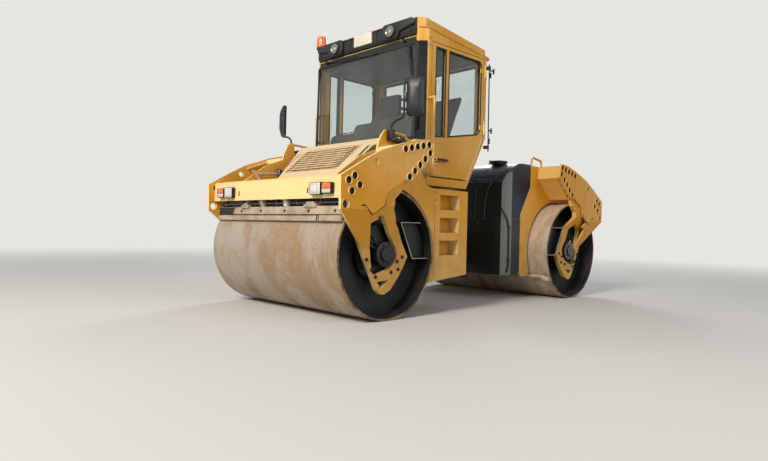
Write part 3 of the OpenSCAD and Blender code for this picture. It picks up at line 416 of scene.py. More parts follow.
def spotOn(axis, p, h):
    # A point of an outline that is drawn across an axis, at h along it
    return {"x": (h, p[0], p[1]), "y": (p[0], h, p[1]), "z": (p[0], p[1], h)}[axis]


def addBox(bm, low, high, mat=0, edge=0.0, turn=None):
    verts = bmesh.ops.create_cube(bm, size=1.0)["verts"]
    for v in verts:
        v.co = Vector([(low[i] + high[i]) / 2 + v.co[i] * (high[i] - low[i]) for i in range(3)])
        if turn:
            v.co = turn @ v.co
    paintFaces(bm, verts, mat)
    if edge:
        soften(bm, verts, edge)


def addPrism(bm, outline, axis, start, end, mat=0, edge=0.0):
    low, high = [[bm.verts.new(spotOn(axis, p, h)) for p in outline] for h in (start, end)]
    bm.faces.new(low)
    bm.faces.new(high)
    bridge(bm, low, high)
    bmesh.ops.recalc_face_normals(bm, faces=paintFaces(bm, low + high, mat))
    if edge:
        soften(bm, low + high, edge)


def inset(outline, by):
    # The outline moved inwards by a distance, corner by corner
    turn = 1 if sum(a[0] * b[1] - b[0] * a[1] for a, b in zip(outline, outline[1:] + outline[:1])) > 0 else -1
    out = []
    for i, at in enumerate(outline):
        before, after = Vector(outline[i - 1]), Vector(outline[(i + 1) % len(outline)])
        a, b = (Vector(at) - before).normalized(), (after - Vector(at)).normalized()
        na, nb = Vector((-a[1], a[0])) * turn, Vector((-b[1], b[0])) * turn
        out.append(Vector(at) + (na + nb) * by / max(0.3, 1 + na.dot(nb)))
    return out


def addFrame(bm, outline, axis, start, end, width, mat=0):
    # A flat ring along an outline, such as a window's seal
    inner = inset(outline, width)
    rings = [[bm.verts.new(spotOn(axis, p, h)) for p in line] for line, h in
             ((outline, start), (outline, end), (inner, end), (inner, start))]
    for a, b in zip(rings, rings[1:] + rings[:1]):
        bridge(bm, a, b, mat)


def bend(path, reach, steps=6):
    # A line of points with its corners rounded
    pts = [Vector(p) for p in path]
    out = [pts[0]]
    for before, at, after in zip(pts, pts[1:], pts[2:]):
        cut = min(reach, (before - at).length * 0.48, (after - at).length * 0.48)
        a, b = at + (before - at).normalized() * cut, at + (after - at).normalized() * cut
        out += [a * (1 - k / steps) ** 2 + at * 2 * (k / steps) * (1 - k / steps) + b * (k / steps) ** 2
                for k in range(steps + 1)]
    return out + [pts[-1]]


def addTube(bm, path, radius, mat=0, sides=14):
    pts = [Vector(p) for p in path]
    normal = None
    rings = []
    for i, p in enumerate(pts):
        ahead = (pts[min(i + 1, len(pts) - 1)] - pts[max(i - 1, 0)]).normalized()
        normal = ahead.orthogonal() if normal is None else normal - ahead * normal.dot(ahead)
        normal.normalize()
        side = ahead.cross(normal)
        rings.append([bm.verts.new(p + (normal * cos(a) + side * sin(a)) * radius)
                      for a in around(sides)])
    for a, b in zip(rings, rings[1:]):
        bridge(bm, a, b, mat)
    for cap in (rings[0][::-1], rings[-1]):
        bm.faces.new(cap).material_index = mat


def addLathe(bm, profile, place, facing=facingUp, mat=0, sides=32, ribs=0, depth=0.0):
    turn = Vector((0, 0, 1)).rotation_difference(Vector(facing)).to_matrix()
    rings = []
    for r, h in profile:
        ring = []
        for a in [0.0] if r < 1e-6 else around(sides):
            out = r * (1 + depth * cos(ribs * a))
            ring.append(bm.verts.new(Vector(place) + turn @ Vector((out * cos(a), out * sin(a), h))))
        rings.append(ring)
    for a, b in zip(rings, rings[1:]):
        bridge(bm, a, b, mat)


def addKnob(bm, wide, deep, tipWide, tipDeep, place, facing, mat=0, sides=20):
    # A turned button: a rim of one width and depth, and a smaller tip
    addLathe(bm, [(0, 0), (wide, 0), (wide, deep), (tipWide, tipDeep), (0, tipDeep)], place, facing, mat,
             sides)


def addPillow(bm, x, z, y, depth, mat=0):
    # A slightly domed plate that faces the front, with a flat back
    n, back = 10, 0.004

    def put(u, v, h):
        return bm.verts.new((x[0] + (x[1] - x[0]) * u, h, z[0] + (z[1] - z[0]) * v))

    grid = [[put(i / n, j / n, y - depth * (1 - (2 * i / n - 1) ** 4) * (1 - (2 * j / n - 1) ** 4))
             for j in range(n + 1)] for i in range(n + 1)]
    for i in range(n):
        for j in range(n):
            bm.faces.new((grid[i][j], grid[i + 1][j], grid[i + 1][j + 1],
                          grid[i][j + 1])).material_index = mat
    rim = [grid[i][0] for i in range(n)] + [grid[n][j] for j in range(n)]
    rim += [grid[i][n] for i in range(n, 0, -1)] + [grid[0][j] for j in range(n, 0, -1)]
    low = [bm.verts.new(v.co + Vector((0, back, 0))) for v in rim]
    bridge(bm, rim[::-1], low[::-1], mat)
    bm.faces.new(low).material_index = mat


def copyAcross(bm):
    # Adds the mirror image across the machine's middle
    twin = bmesh.ops.duplicate(bm, geom=bm.verts[:] + bm.edges[:] + bm.faces[:])["geom"]
    for part in twin:
        if isinstance(part, bmesh.types.BMVert):
            part.co[0] *= -1
    bmesh.ops.reverse_faces(bm, faces=[f for f in twin if isinstance(f, bmesh.types.BMFace)])


def placed(bm, turn):
    for vert in bm.verts:
        vert.co = turn @ vert.co
    return bm


def atRear(bm):
    # A copy for the rear half, mirrored across the steering pivot
    twin = bm.copy()
    for v in twin.verts:
        v.co[1] *= -1
    bmesh.ops.reverse_faces(twin, faces=twin.faces[:])
    return twin


def toMesh(name, bm):
    mesh = bpy.data.meshes.new(name)
    bm.to_mesh(mesh)
    bm.free()
    return mesh


def newObject(name, data):
    obj = bpy.data.objects.new(name, data)
    bpy.context.collection.objects.link(obj)
    return obj


def evaluated(obj):
    # The object's mesh as its modifiers leave it; they are then removed
    mesh = bpy.data.meshes.new_from_object(obj.evaluated_get(bpy.context.evaluated_depsgraph_get()))
    obj.modifiers.clear()
    return mesh


def settle(name, mesh, finishes, body, hides=(), angle=32):
    mesh.name = name
    for key in finishes or ():
        mesh.materials.append(mats[key])
    mesh.shade_smooth()
    mesh.set_sharp_from_angle(angle=radians(angle))
    obj = newObject(name, mesh)
    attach(obj, body)
    if hides:
        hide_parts(*hides)
    return obj


def made(name, bm, finishes, body, slot, hides=(), angle=32):
    bmesh.ops.recalc_face_normals(bm, faces=bm.faces)
    return settle(name, toMesh(name, bm), finishes, body, hides, angle)


def bothEnds(name, bm, finishes, slot, hides=""):
    # One set on the rear half and its mirror image on the front half
    for end, part in (("rear", atRear(bm)), ("front", bm)):
        made(end + "_" + name, part, finishes, end, slot, [end + "_" + hides] if hides else ())


# Geometry Nodes: a group with named inputs, and its result as a plain mesh
def newGroup(name, inputs):
    tree = bpy.data.node_groups.new(name, "GeometryNodeTree")
    tree.interface.new_socket("Geometry", in_out="INPUT", socket_type="NodeSocketGeometry")
    for label, kind in inputs.items():
        tree.interface.new_socket(label, in_out="INPUT", socket_type="NodeSocket" + kind)
    tree.interface.new_socket("Geometry", in_out="OUTPUT", socket_type="NodeSocketGeometry")
    return tree, tree.nodes.new("NodeGroupInput").outputs


def closeGroup(tree, geometry, finish):
    real = addNode(tree, "GeometryNodeRealizeInstances", i0=geometry).outputs[0]
    done = addNode(tree, "GeometryNodeSetMaterial", Geometry=real, Material=finish).outputs[0]
    tree.links.new(done, tree.nodes.new("NodeGroupOutput").inputs[0])
    return tree


def grown(name, mesh, tree, values):
    obj = newObject(name + ".seed", mesh)
    mod = obj.modifiers.new(name, "NODES")
    mod.node_group = tree
    for item in tree.interface.items_tree:
        if item.in_out == "INPUT" and item.name in values:
            mod[item.identifier] = values[item.name]
    result = evaluated(obj)
    bpy.data.objects.remove(obj)
    result.materials.clear()
    result.materials.append(values["Finish"])
    return result


def boltGroup():
    tree, given = newGroup("bolt_heads", {"Head Width": "Float", "Head Height": "Float", "Washer": "Float",
                                          "Finish": "Material"})
    head = addNode(tree, "GeometryNodeMeshCylinder", Vertices=6, Radius=times(tree, given["Head Width"], 0.5),
                   Depth=given["Head Height"]).outputs["Mesh"]
    lift = addNode(tree, "CombineXYZ", i2=times(tree, given["Head Height"], 0.5)).outputs[0]
    head = addNode(tree, "GeometryNodeTransform", Geometry=head, Translation=lift).outputs[0]
    washer = addNode(tree, "GeometryNodeMeshCylinder", Vertices=18, Radius=times(tree, given["Washer"], 0.5),
                     Depth=0.006).outputs["Mesh"]
    joined = addNode(tree, "GeometryNodeJoinGeometry")
    for piece in (head, washer):
        tree.links.new(piece, joined.inputs[0])
    facing = addNode(tree, "GeometryNodeInputNamedAttribute", {"data_type": "FLOAT_VECTOR"},
                     Name="facing").outputs[0]
    turn = addNode(tree, "FunctionNodeAlignRotationToVector", {"axis": "Z"}, Vector=facing).outputs[0]
    size = addNode(tree, "GeometryNodeInputNamedAttribute", {"data_type": "FLOAT"}, Name="size").outputs[0]
    spots = addNode(tree, "GeometryNodeInstanceOnPoints", Points=given["Geometry"],
                    Instance=joined.outputs[0], Rotation=turn, Scale=size).outputs[0]
    return closeGroup(tree, spots, given["Finish"])


boltTree = boltGroup()


def bolts(name, spots, body, finishKey="bolt", width=0.026, height=0.012, washer=0.036):
    # Each spot: a place, the way its head faces, and a size factor
    mesh = bpy.data.meshes.new(name)
    mesh.from_pydata([s[0] for s in spots], [], [])
    mesh.attributes.new("facing", "FLOAT_VECTOR", "POINT")
    mesh.attributes.new("size", "FLOAT", "POINT")
    for i, (at, facing, size) in enumerate(spots):
        mesh.attributes["facing"].data[i].vector = facing
        mesh.attributes["size"].data[i].value = size
    mesh = grown(name, mesh, boltTree, {"Head Width": width, "Head Height": height, "Washer": washer,
                                        "Finish": mats[finishKey]})
    return settle(name, mesh, None, body)


# Head lamp and indicator in black housings, on both ends of each beam
lampSet = {"face": -2.264, "deep": 0.046, "head": (0.672, 0.838), "headZ": (1.129, 1.243),
           "turn": (0.85, 0.982), "turnZ": (1.137, 1.237), "wall": 0.005, "flutes": 7}


def roundRect(x0, x1, z0, z1, r, steps=5):
    out = []
    for cx, cz, start in ((x1 - r, z0 + r, -90), (x1 - r, z1 - r, 0), (x0 + r, z1 - r, 90),
                          (x0 + r, z0 + r, 180)):
        for k in range(steps + 1):
            a = radians(start + 90 * k / steps)
            out.append((cx + r * cos(a), cz + r * sin(a)))
    return out


def lampCluster():
    v = lampSet
    bm = bmesh.new()
    front = v["face"] - v["deep"]
    for x, z in ((v["head"], v["headZ"]), (v["turn"], v["turnZ"])):
        addBox(bm, (x[0], front + 0.012, z[0]), (x[1], v["face"] - 0.0003, z[1]), 0, 0.01)
        corners = roundRect(x[0] + 0.002, x[1] - 0.002, z[0] + 0.002, z[1] - 0.002, 0.016)
        addFrame(bm, corners, "y", front + 0.013, front + 0.002, v["wall"], 0)
    # Head lamp, with the indicator's amber pane over its clear one
    (x0, x1), (z0, z1) = v["head"], v["headZ"]
    low, high = v["turnZ"]
    middle = low + (high - low) * 0.42
    panes = [(v["head"], (z0 + 0.006, z1 - 0.006), 0.009, 4),
             (v["turn"], (middle + 0.0005, high - 0.006), 0.008, 3),
             (v["turn"], (low + 0.006, middle - 0.0005), 0.006, 2)]
    for x, z, depth, mat in panes:
        addPillow(bm, (x[0] + 0.006, x[1] - 0.006), z, front + 0.003, depth, mat)
    # Upright flutes pressed in the lens
    for k in range(v["flutes"]):
        rib = x0 + 0.026 + k * (x1 - x0 - 0.052) / (v["flutes"] - 1)
        addTube(bm, [(rib, front - 0.004, z) for z in (z0 + 0.014, z1 - 0.014)], 0.0026, 1, 8)
    copyAcross(bm)
    return bm


bothEnds("lamp_sets", lampCluster(), ["plastic", "silver", "lens", "amber", "headlamp"], "lamp_lens", "lamps")


# Work lamps in moulded pods, and the plain white plate between them
roofBar = {"y": -1.118, "lampX": 0.457, "lampZ": 2.922, "radius": 0.058,
           "plate": [(-0.138, 2.869), (0.158, 2.869), (0.152, 3.001), (-0.144, 3.001)]}


def workLamps():
    v = roofBar
    bm = bmesh.new()
    x, z, y, r = v["lampX"], v["lampZ"], v["y"], v["radius"]
    pod = [(x - 0.115, z - 0.082), (x - 0.135, z - 0.02), (x - 0.12, z + 0.072), (x - 0.09, z + 0.086),
           (x + 0.3, z + 0.084), (x + 0.334, z + 0.06), (x + 0.334, z + 0.01), (x + 0.13, z - 0.02),
           (x + 0.1, z - 0.086)]
    addPrism(bm, pod, "y", y - 0.02, y + 0.004, 0, 0.008)
    rim = [(r + 0.014, 0.0), (r + 0.016, 0.014), (r + 0.008, 0.02), (r - 0.001, 0.016), (r - 0.004, 0.004),
           (r - 0.004, -0.002), (r + 0.014, 0.0)]
    bowl = [(0, -0.004), (r - 0.004, -0.002), (r - 0.002, 0.008), (r - 0.01, 0.01), (0.018, 0.001),
            (0, 0.001)]
    bulb = [(0, -0.003), (0.016, -0.003), (0.018, 0.007), (0.014, 0.012), (0, 0.013)]
    ring = [(r - 0.008, 0.008), (r - 0.004, 0.015), (r - 0.001, 0.016), (r - 0.001, 0.006)]
    glass = [(0, 0.015), (r - 0.005, 0.013)]
    for profile, mat, sides in ((rim, 0, 40), (bowl, 1, 40), (bulb, 2, 24), (ring, 1, 40), (glass, 4, 40)):
        addLathe(bm, profile, (x, y - 0.02, z), facingFront, mat, sides)
    copyAcross(bm)
    # Ribs moulded into the bar's face, a light edge along its top, and the blank plate
    for spot in (-0.74, -0.22, 0.22, 0.74):
        addBox(bm, (spot - 0.006, y - 0.005, 2.862), (spot + 0.006, y + 0.01, 2.984), 0, 0.003)
    addBox(bm, (-0.78, y - 0.001, 2.985), (0.78, y + 0.01, 2.993), 0, 0.003)
    addPrism(bm, v["plate"], "y", y - 0.006, y + 0.006, 3, 0.002)
    return bm


made("work_lamp_pods", workLamps(), ["plastic", "silver", "lens", "white", "bulb"], "front", "work_lens",
     ["work_lamps"])


# Rotating beacon: ribbed dome on a black foot
beacon = {"x": -0.906, "y": -0.986, "z": 3.029, "ribs": 36}


def beaconLamp():
    v = beacon
    bm = bmesh.new()
    at = (v["x"], v["y"], v["z"])
    foot = 2.935
    addTube(bm, bend([(v["x"] + 0.05, v["y"], foot), (v["x"], v["y"], foot), (v["x"], v["y"], 3.03)], 0.03),
            0.012)
    addBox(bm, (v["x"] - 0.02, v["y"] - 0.022, 2.926), (v["x"] + 0.05, v["y"] + 0.022, 2.933), 0, 0.002)
    addLathe(bm, [(0, -0.03), (0.022, -0.03), (0.024, -0.006), (0.056, -0.002), (0.062, 0.004), (0.062, 0.02),
                  (0.056, 0.024), (0, 0.024)], at, facingUp, 0, 48, 24, 0.012)
    addLathe(bm, [(0, 0.024), (0.06, 0.024), (0.064, 0.034), (0.063, 0.09), (0.06, 0.132), (0.053, 0.152),
                  (0.038, 0.163), (0.016, 0.1665), (0, 0.167)], at, facingUp, 1, 144, v["ribs"], 0.01)
    return bm


made("beacon_lamp", beaconLamp(), ["plastic", "dome"], "front", "amber_lens", ["beacon"], angle=50)
print("lamps done")


# Hood louvres: pressed blades whose lips wave across the hood
louvres = {"Count": 9, "Pitch": 0.04133, "Width": 0.88, "Wave": 0.0045, "Waves": 4.5, "Lip": 0.013}
louvreBed = {"middle": -0.04, "start": 0.1345, "low": (-1.85, 1.365), "slope": atan2(0.388, 0.438)}


def louvreGroup():
    tree, given = newGroup("wavy_louvres", {"Count": "Int", "Pitch": "Float", "Width": "Float",
                                            "Wave": "Float", "Waves": "Float", "Lip": "Float",
                                            "Finish": "Material"})
    deep = times(tree, given["Pitch"], 0.8)
    grid = addNode(tree, "GeometryNodeMeshGrid", i0=given["Width"], i1=deep, i2=121, i3=5).outputs["Mesh"]
    at = parts(tree, addNode(tree, "GeometryNodeInputPosition").outputs[0])
    turns = calc(tree, "DIVIDE", times(tree, at[0], times(tree, given["Waves"], 2 * pi)), given["Width"])
    sway = times(tree, calc(tree, "SINE", turns), given["Wave"])
    # The lip stands highest at the blade's lower edge
    rise = calc(tree, "SUBTRACT", 0.5, calc(tree, "DIVIDE", at[1], deep))
    up = times(tree, calc(tree, "POWER", rise, 1.6), given["Lip"])
    shift = addNode(tree, "CombineXYZ", i1=sway, i2=up).outputs[0]
    blade = addNode(tree, "GeometryNodeSetPosition", Geometry=grid, Offset=shift).outputs[0]
    thick = addNode(tree, "GeometryNodeExtrudeMesh", {"mode": "FACES"}, Mesh=blade, i3=0.004,
                    Individual=False)
    row = addNode(tree, "GeometryNodeMeshLine", Count=given["Count"],
                  Offset=addNode(tree, "CombineXYZ", i1=given["Pitch"]).outputs[0]).outputs[0]
    spots = addNode(tree, "GeometryNodeInstanceOnPoints", Points=row, Instance=thick.outputs[0]).outputs[0]
    return closeGroup(tree, spots, given["Finish"])


mesh = grown("hood_louvres", bpy.data.meshes.new("louvres"), louvreGroup(),
             {**louvres, "Finish": mats["hood"]})
lie = Matrix.Translation((0, *louvreBed["low"])) @ Matrix.Rotation(louvreBed["slope"], 4, "X")
mesh.transform(lie @ Matrix.Translation((louvreBed["middle"], louvreBed["start"], 0.001)))
settle("hood_louvres", mesh, None, "hood", angle=40)


def hoodTrim():
    bm = bmesh.new()
    # Painted shade: flat dark patches for the ends of the louvre gaps, for the two long air slots, which have
    # a raised lip, and a thin dark line across the hood
    for k in range(11):
        run = 0.124 + 0.034 * k
        addBox(bm, (0.401, run, 0.0003), (0.413, run + 0.014, 0.0014), 0)
    for x, run, long in ((0.553, 0.2, 0.262), (0.634, 0.236, 0.222)):
        addBox(bm, (x, run, 0.0003), (x + 0.034, run + long, 0.0014), 0)
        addBox(bm, (x + 0.034, run - 0.004, -0.001), (x + 0.04, run + long + 0.004, 0.007), 1, 0.002)
    addBox(bm, (-0.48, 0.099, 0.0003), (0.4, 0.1045, 0.0014), 0)
    return placed(bm, lie)


made("hood_trim", hoodTrim(), ["rubber", "hood"], "hood", "hood_paint")


# Cab: seals round the panes, door furniture, hinges with their rod, and the skirt under the floor
doorFront, doorRear = -0.945, -0.072
windowLow, windowTop = 1.808, 2.732
smallPane = [(doorFront + 0.06, windowLow), (doorFront + 0.215, windowLow + 0.014),
             (doorFront + 0.215, windowTop), (doorFront + 0.06, windowTop)]
bigPane = [(doorFront + 0.269, windowLow + 0.02), (doorRear - 0.113, windowLow + 0.104),
           (doorRear - 0.066, windowLow + 0.134), (doorRear - 0.046, windowLow + 0.2),
           (doorRear - 0.046, windowTop - 0.032), (doorRear - 0.078, windowTop),
           (doorFront + 0.269, windowTop)]


def doorTrim(side):
    bm = bmesh.new()
    for pane in (smallPane, bigPane):
        rim = inset(pane, -0.006)
        addFrame(bm, rim, "x", 0.884, 0.8925, 0.014, 0)
        addFrame(bm, rim, "x", 0.846, 0.87, 0.018, 0)
    # Pull handle with its key barrel, and the black seam along the door's foot
    grip = [(0.889, 0.07), (0.925, 0.075), (0.925, 0.245), (0.889, 0.25)]
    addTube(bm, bend([(x, doorFront + y, 1.574) for x, y in grip], 0.018), 0.012, 0, 12)
    addBox(bm, (0.888, doorFront + 0.06, 1.556), (0.8935, doorFront + 0.26, 1.592), 0, 0.002)
    addKnob(bm, 0.017, 0.012, 0.012, 0.016, (0.889, doorFront + 0.075, 1.528), facingOut, 2)
    addBox(bm, (0.8895, doorFront + 0.01, 1.392), (0.8935, -0.4, 1.4), 0, 0.001)
    # Painted highlight: a white strip along the slanted rear edge, for the seal catching the light
    addPrism(bm, [(-0.345, 1.398), (-0.337, 1.394), (-0.074, 1.88), (-0.08, 1.884)], "x", 0.8895, 0.8925, 1)
    if side < 0:
        for v in bm.verts:
            v.co[0] *= -1
    return bm


for name, side in (("left", 1), ("right", -1)):
    made("door_trim_" + name, doorTrim(side), ["rubber", "white", "silver"], "door_" + name, "rubber_black")


def cabTrim():
    bm = bmesh.new()
    # Hinge rod behind the door with its two arms
    addTube(bm, [(0.935, -0.02, 1.74), (0.935, -0.035, 2.72)], 0.007, 0, 10)
    for z, reach in ((2.655, 0.075), (2.6, 0.02), (1.98, 0.055), (1.86, 0.02)):
        addTube(bm, [(0.935, -0.026, z), (0.935, -0.026 + reach, z)], 0.008, 0, 10)
        addTube(bm, [(0.935, -0.026 + reach, z - 0.03), (0.935, -0.026 + reach, z + 0.03)], 0.01, 0, 10)
    for z in (1.79, 2.68):
        addBox(bm, (0.885, -0.05, z - 0.018), (0.948, -0.018, z + 0.018), 0, 0.004)
    # Rubber skirt between the cab's foot and the step box
    addPrism(bm, [(-1.1, 1.482), (-1.106, 1.482), (-0.974, 1.292), (-0.35, 1.292), (-0.35, 1.3),
                  (-0.97, 1.3)], "x", 0.87, 0.893, 0)
    # Seal up the corner post and the seam beside the corner pane
    addTube(bm, [(0.874, -1.004, 1.772), (0.874, -0.999, 2.76)], 0.009, 0, 10)
    addTube(bm, [(0.806, -1.108, 1.772), (0.806, -1.086, 2.762)], 0.012, 0, 10)
    addPrism(bm, [(0.802, -1.109), (0.829, -1.077), (0.822, -1.07), (0.796, -1.1)], "z", 1.772, 2.742, 0)
    for z in (1.878, 2.7):
        addLathe(bm, [(0, -0.004), (0.017, -0.004), (0.017, 0.008), (0.012, 0.013), (0, 0.014)],
                 (0.866, -1.022, z), (0.82, -0.57, 0), 1, 20)
    copyAcross(bm)
    # Windscreen's seal along its foot and head, and the dark band printed up to the light bar
    for y0, z0, y1, z1, half, mat in ((-1.1115, 1.76, -1.098, 1.792, 0.8, 0),
                                      (-1.09, 2.742, -1.076, 2.772, 0.8, 0),
                                      (-1.087, 2.772, -1.08, 2.817, 0.79, 2)):
        addPrism(bm, [(y0, z0), (y1, z0), (y1, z1), (y0, z1)], "x", -half, half, mat)
    # Rear window's seal
    pane = [(-0.758, 1.828), (0.758, 1.828), (0.758, 2.733), (-0.758, 2.733)]
    addFrame(bm, pane, "y", -0.03, -0.019, 0.026, 0)
    # Roof lining
    addBox(bm, (-0.8, -1.02, 2.735), (0.8, -0.09, 2.764), 0, 0.006)
    return bm


made("cab_trim", cabTrim(), ["rubber", "silver", "screen"], "front", "rubber_black")


# Wipers: an arm from a pivot and a blade held at its middle
wipers = {"near": ((0.615, 2.8), (0.715, 2.6), (0.7, 2.735), (0.748, 2.425)),
          "far": ((-0.655, 2.8), (-0.1, 2.772), (-0.405, 2.768), (0.206, 2.752))}


def screenY(z):
    return -1.106 + 0.024 * min(1.0, (z - 1.766) / 0.999)


def wiperSet():
    bm = bmesh.new()
    for pivot, hold, low, high in wipers.values():
        y = -1.082
        addKnob(bm, 0.02, 0.016, 0.014, 0.03, (pivot[0], y, pivot[1]), facingFront, 0, 18)
        screen = screenY(hold[1])
        addTube(bm, [(pivot[0], y - 0.03, pivot[1]), (hold[0], screen - 0.03, hold[1])], 0.006, 0, 8)
        addTube(bm, [(hold[0], screen - 0.034, hold[1]), (hold[0], screen - 0.012, hold[1])], 0.007, 0, 8)
        a, b = [Vector((p[0], screenY(p[1]), p[1])) for p in (low, high)]
        across = (b - a).normalized().cross(Vector((0, 1, 0))).normalized()
        for out, wide, deep in ((0.0005, 0.004, 0.012), (0.012, 0.011, 0.008)):
            corners = [p + across * s * wide + Vector((0, -d, 0)) for p in (a, b) for s in (-1, 1)
                       for d in (out, out + deep)]
            bmesh.ops.convex_hull(bm, input=[bm.verts.new(c) for c in corners])
        for t in (0.2, 0.5, 0.8):
            p = a.lerp(b, t)
            addBox(bm, p + Vector((-0.011, -0.024, -0.011)), p + Vector((0.011, -0.01, 0.011)), 0, 0.003)
    return bm


made("wiper_arms", wiperSet(), ["plastic"], "front", "black_plastic", ["wipers"])
print("cab trim done")


# Mirrors: bracket on the side plate, bent stem, moulded shell with glass at its back
mirrors = {"y": -1.475, "deck": 1.262, "sweep": 28.0, "head": (0.166, 0.372), "deep": 0.068}


def mirrorShell():
    # The shell swells towards its middle, and its back is open for the glass
    v = mirrors
    wide, tall = v["head"]
    shell = bmesh.new()
    rows = []
    for k in range(9):
        t = k / 8
        grow = sin(pi * min(1.0, t * 1.25 + 0.18) * 0.5) ** 0.6
        x, z = 0.014 + wide * 0.5, tall * 0.5
        ring = roundRect(x - wide * 0.5 * grow, x + wide * 0.5 * grow, z - z * grow, z + z * grow,
                         0.034 * grow, 6)
        rows.append([shell.verts.new((p[0], -0.034 + v["deep"] * t, p[1])) for p in ring])
    for a, b in zip(rows, rows[1:]):
        bridge(shell, a, b)
    for cap in (rows[0], rows[-1]):
        shell.faces.new(cap)
    outline = roundRect(0.022, 0.014 + wide - 0.008, 0.008, tall - 0.008, 0.028, 6)
    addFrame(shell, outline, "y", v["deep"] - 0.036, v["deep"] - 0.03, 0.01, 0)
    addPrism(shell, inset(outline, 0.01), "y", v["deep"] - 0.036, v["deep"] - 0.032, 1)
    addBox(shell, (-0.008, -0.014, 0.135), (0.022, 0.014, 0.225), 0, 0.004)
    turn = Matrix.Translation((1.006, v["y"] + 0.02, v["deck"] + 0.66))
    placed(shell, turn @ Matrix.Rotation(radians(v["sweep"]), 4, "Z"))
    bmesh.ops.recalc_face_normals(shell, faces=shell.faces)
    return toMesh("shell", shell)


def mirrorSet():
    bm = bmesh.new()
    y, deck = mirrors["y"], mirrors["deck"]
    addBox(bm, (0.8003, y - 0.005, deck + 0.436), (0.862, y + 0.215, deck + 0.47), 0, 0.006)
    addBox(bm, (0.806, y - 0.012, deck + 0.45), (0.864, y + 0.05, deck + 0.545), 0, 0.008)
    addKnob(bm, 0.02, 0.01, 0.012, 0.016, (0.834, y + 0.12, deck + 0.47), facingUp, 2)
    stem = [(x, y + 0.02, deck + z) for x, z in ((0.835, 0.5), (0.835, 0.59), (0.89, 0.63), (0.985, 0.645),
                                                  (1.0, 0.68), (1.0, 1.02))]
    addTube(bm, bend(stem, 0.05), 0.011, 0, 14)
    shell = mirrorShell()
    bm.from_mesh(shell)
    bpy.data.meshes.remove(shell)
    copyAcross(bm)
    return bm


made("mirror_pair", mirrorSet(), ["plastic", "mirror", "silver"], "front", "black_plastic", ["mirrors"],
     angle=40)


# Inside the cab: a grained dashboard mound with its column and display, the wheel, and the seat
cabin = {"seatX": 0.44, "seatY": -0.4, "floor": 1.342, "dash": 2.082, "wheel": (0.44, -0.7746, 2.1545),
         "tilt": 28.0, "wheelRadius": 0.18}


def dashboard():
    v = cabin
    bm = bmesh.new()
    left, right = v["seatX"] - 0.36, v["seatX"] + 0.24
    dash = v["dash"]
    # Low shelf across the cab, stepped up towards the column
    low = [(-1.052, 1.592), (-1.052, dash - 0.215), (-1.025, dash - 0.155), (-0.985, dash - 0.138),
           (-0.925, dash - 0.15), (-0.893, 1.8), (-0.9, 1.7), (-0.955, 1.592)]
    step = [(-1.045, 1.7), (-1.045, dash - 0.105), (-1.005, dash - 0.055), (-0.955, dash - 0.05),
            (-0.905, dash - 0.08), (-0.895, 1.8)]
    column = [(-1.052, 1.594), (-1.052, dash - 0.07), (-1.0, dash - 0.002), (-0.95, dash - 0.006),
              (-0.875, dash - 0.028), (-0.802, dash - 0.072), (-0.855, 1.62), (-0.862, 1.5),
              (-0.802, 1.3425), (-0.866, 1.3425)]
    for outline, x0, x1, edge in ((low, -0.622, 0.622, 0.022), (step, -0.205, 0.705, 0.026),
                                  (column, left, right, 0.016)):
        addPrism(bm, outline, "x", x0, x1, 0, edge)
    # Display in its hood, with dials, switches and two warning lamps
    x0, x1 = v["seatX"] - 0.23, v["seatX"] + 0.06
    addBox(bm, (x0, -1.045, dash - 0.06), (x1, -0.977, dash + 0.193), 1, 0.014)
    addBox(bm, (x0 + 0.018, -0.979, dash + 0.035), (x1 - 0.018, -0.9745, dash + 0.172), 2, 0.002)
    for i in range(4):
        addKnob(bm, 0.016, 0.006, 0.013, 0.008, (x0 + 0.045 + 0.066 * i, -0.977, dash + 0.012), (0, 1, 0),
                3 if i % 2 else 1)
    for i in range(5):
        x = left + 0.05 + 0.03 * i
        addBox(bm, (x, -0.925, dash - 0.014), (x + 0.02, -0.895, dash + 0.004), 1, 0.004)
    # Long vent slots along the shelf
    for x, low, high in ((-0.52, 0.142, 0.134), (-0.3, 0.142, 0.134), (0.24, 0.056, 0.044)):
        addBox(bm, (x, -1.03, dash - low), (x + 0.19, -1.005, dash - high), 1, 0.003)
    # Travel lever beside the seat
    x = v["seatX"] + 0.29
    addTube(bm, bend([(x, -0.66, 1.9), (x, -0.69, 2.02), (x - 0.01, -0.7, 2.08)], 0.04), 0.01, 1, 12)
    addLathe(bm, [(0, -0.03), (0.014, -0.03), (0.026, -0.004), (0.028, 0.02), (0.02, 0.04), (0, 0.046)],
             (x - 0.01, -0.7, 2.09), (0, -0.1, 1), 1, 24)
    return bm


made("dashboard", dashboard(), ["trim", "plastic", "screen", "silver"], "front", "grey_plastic", ["console"],
     angle=40)


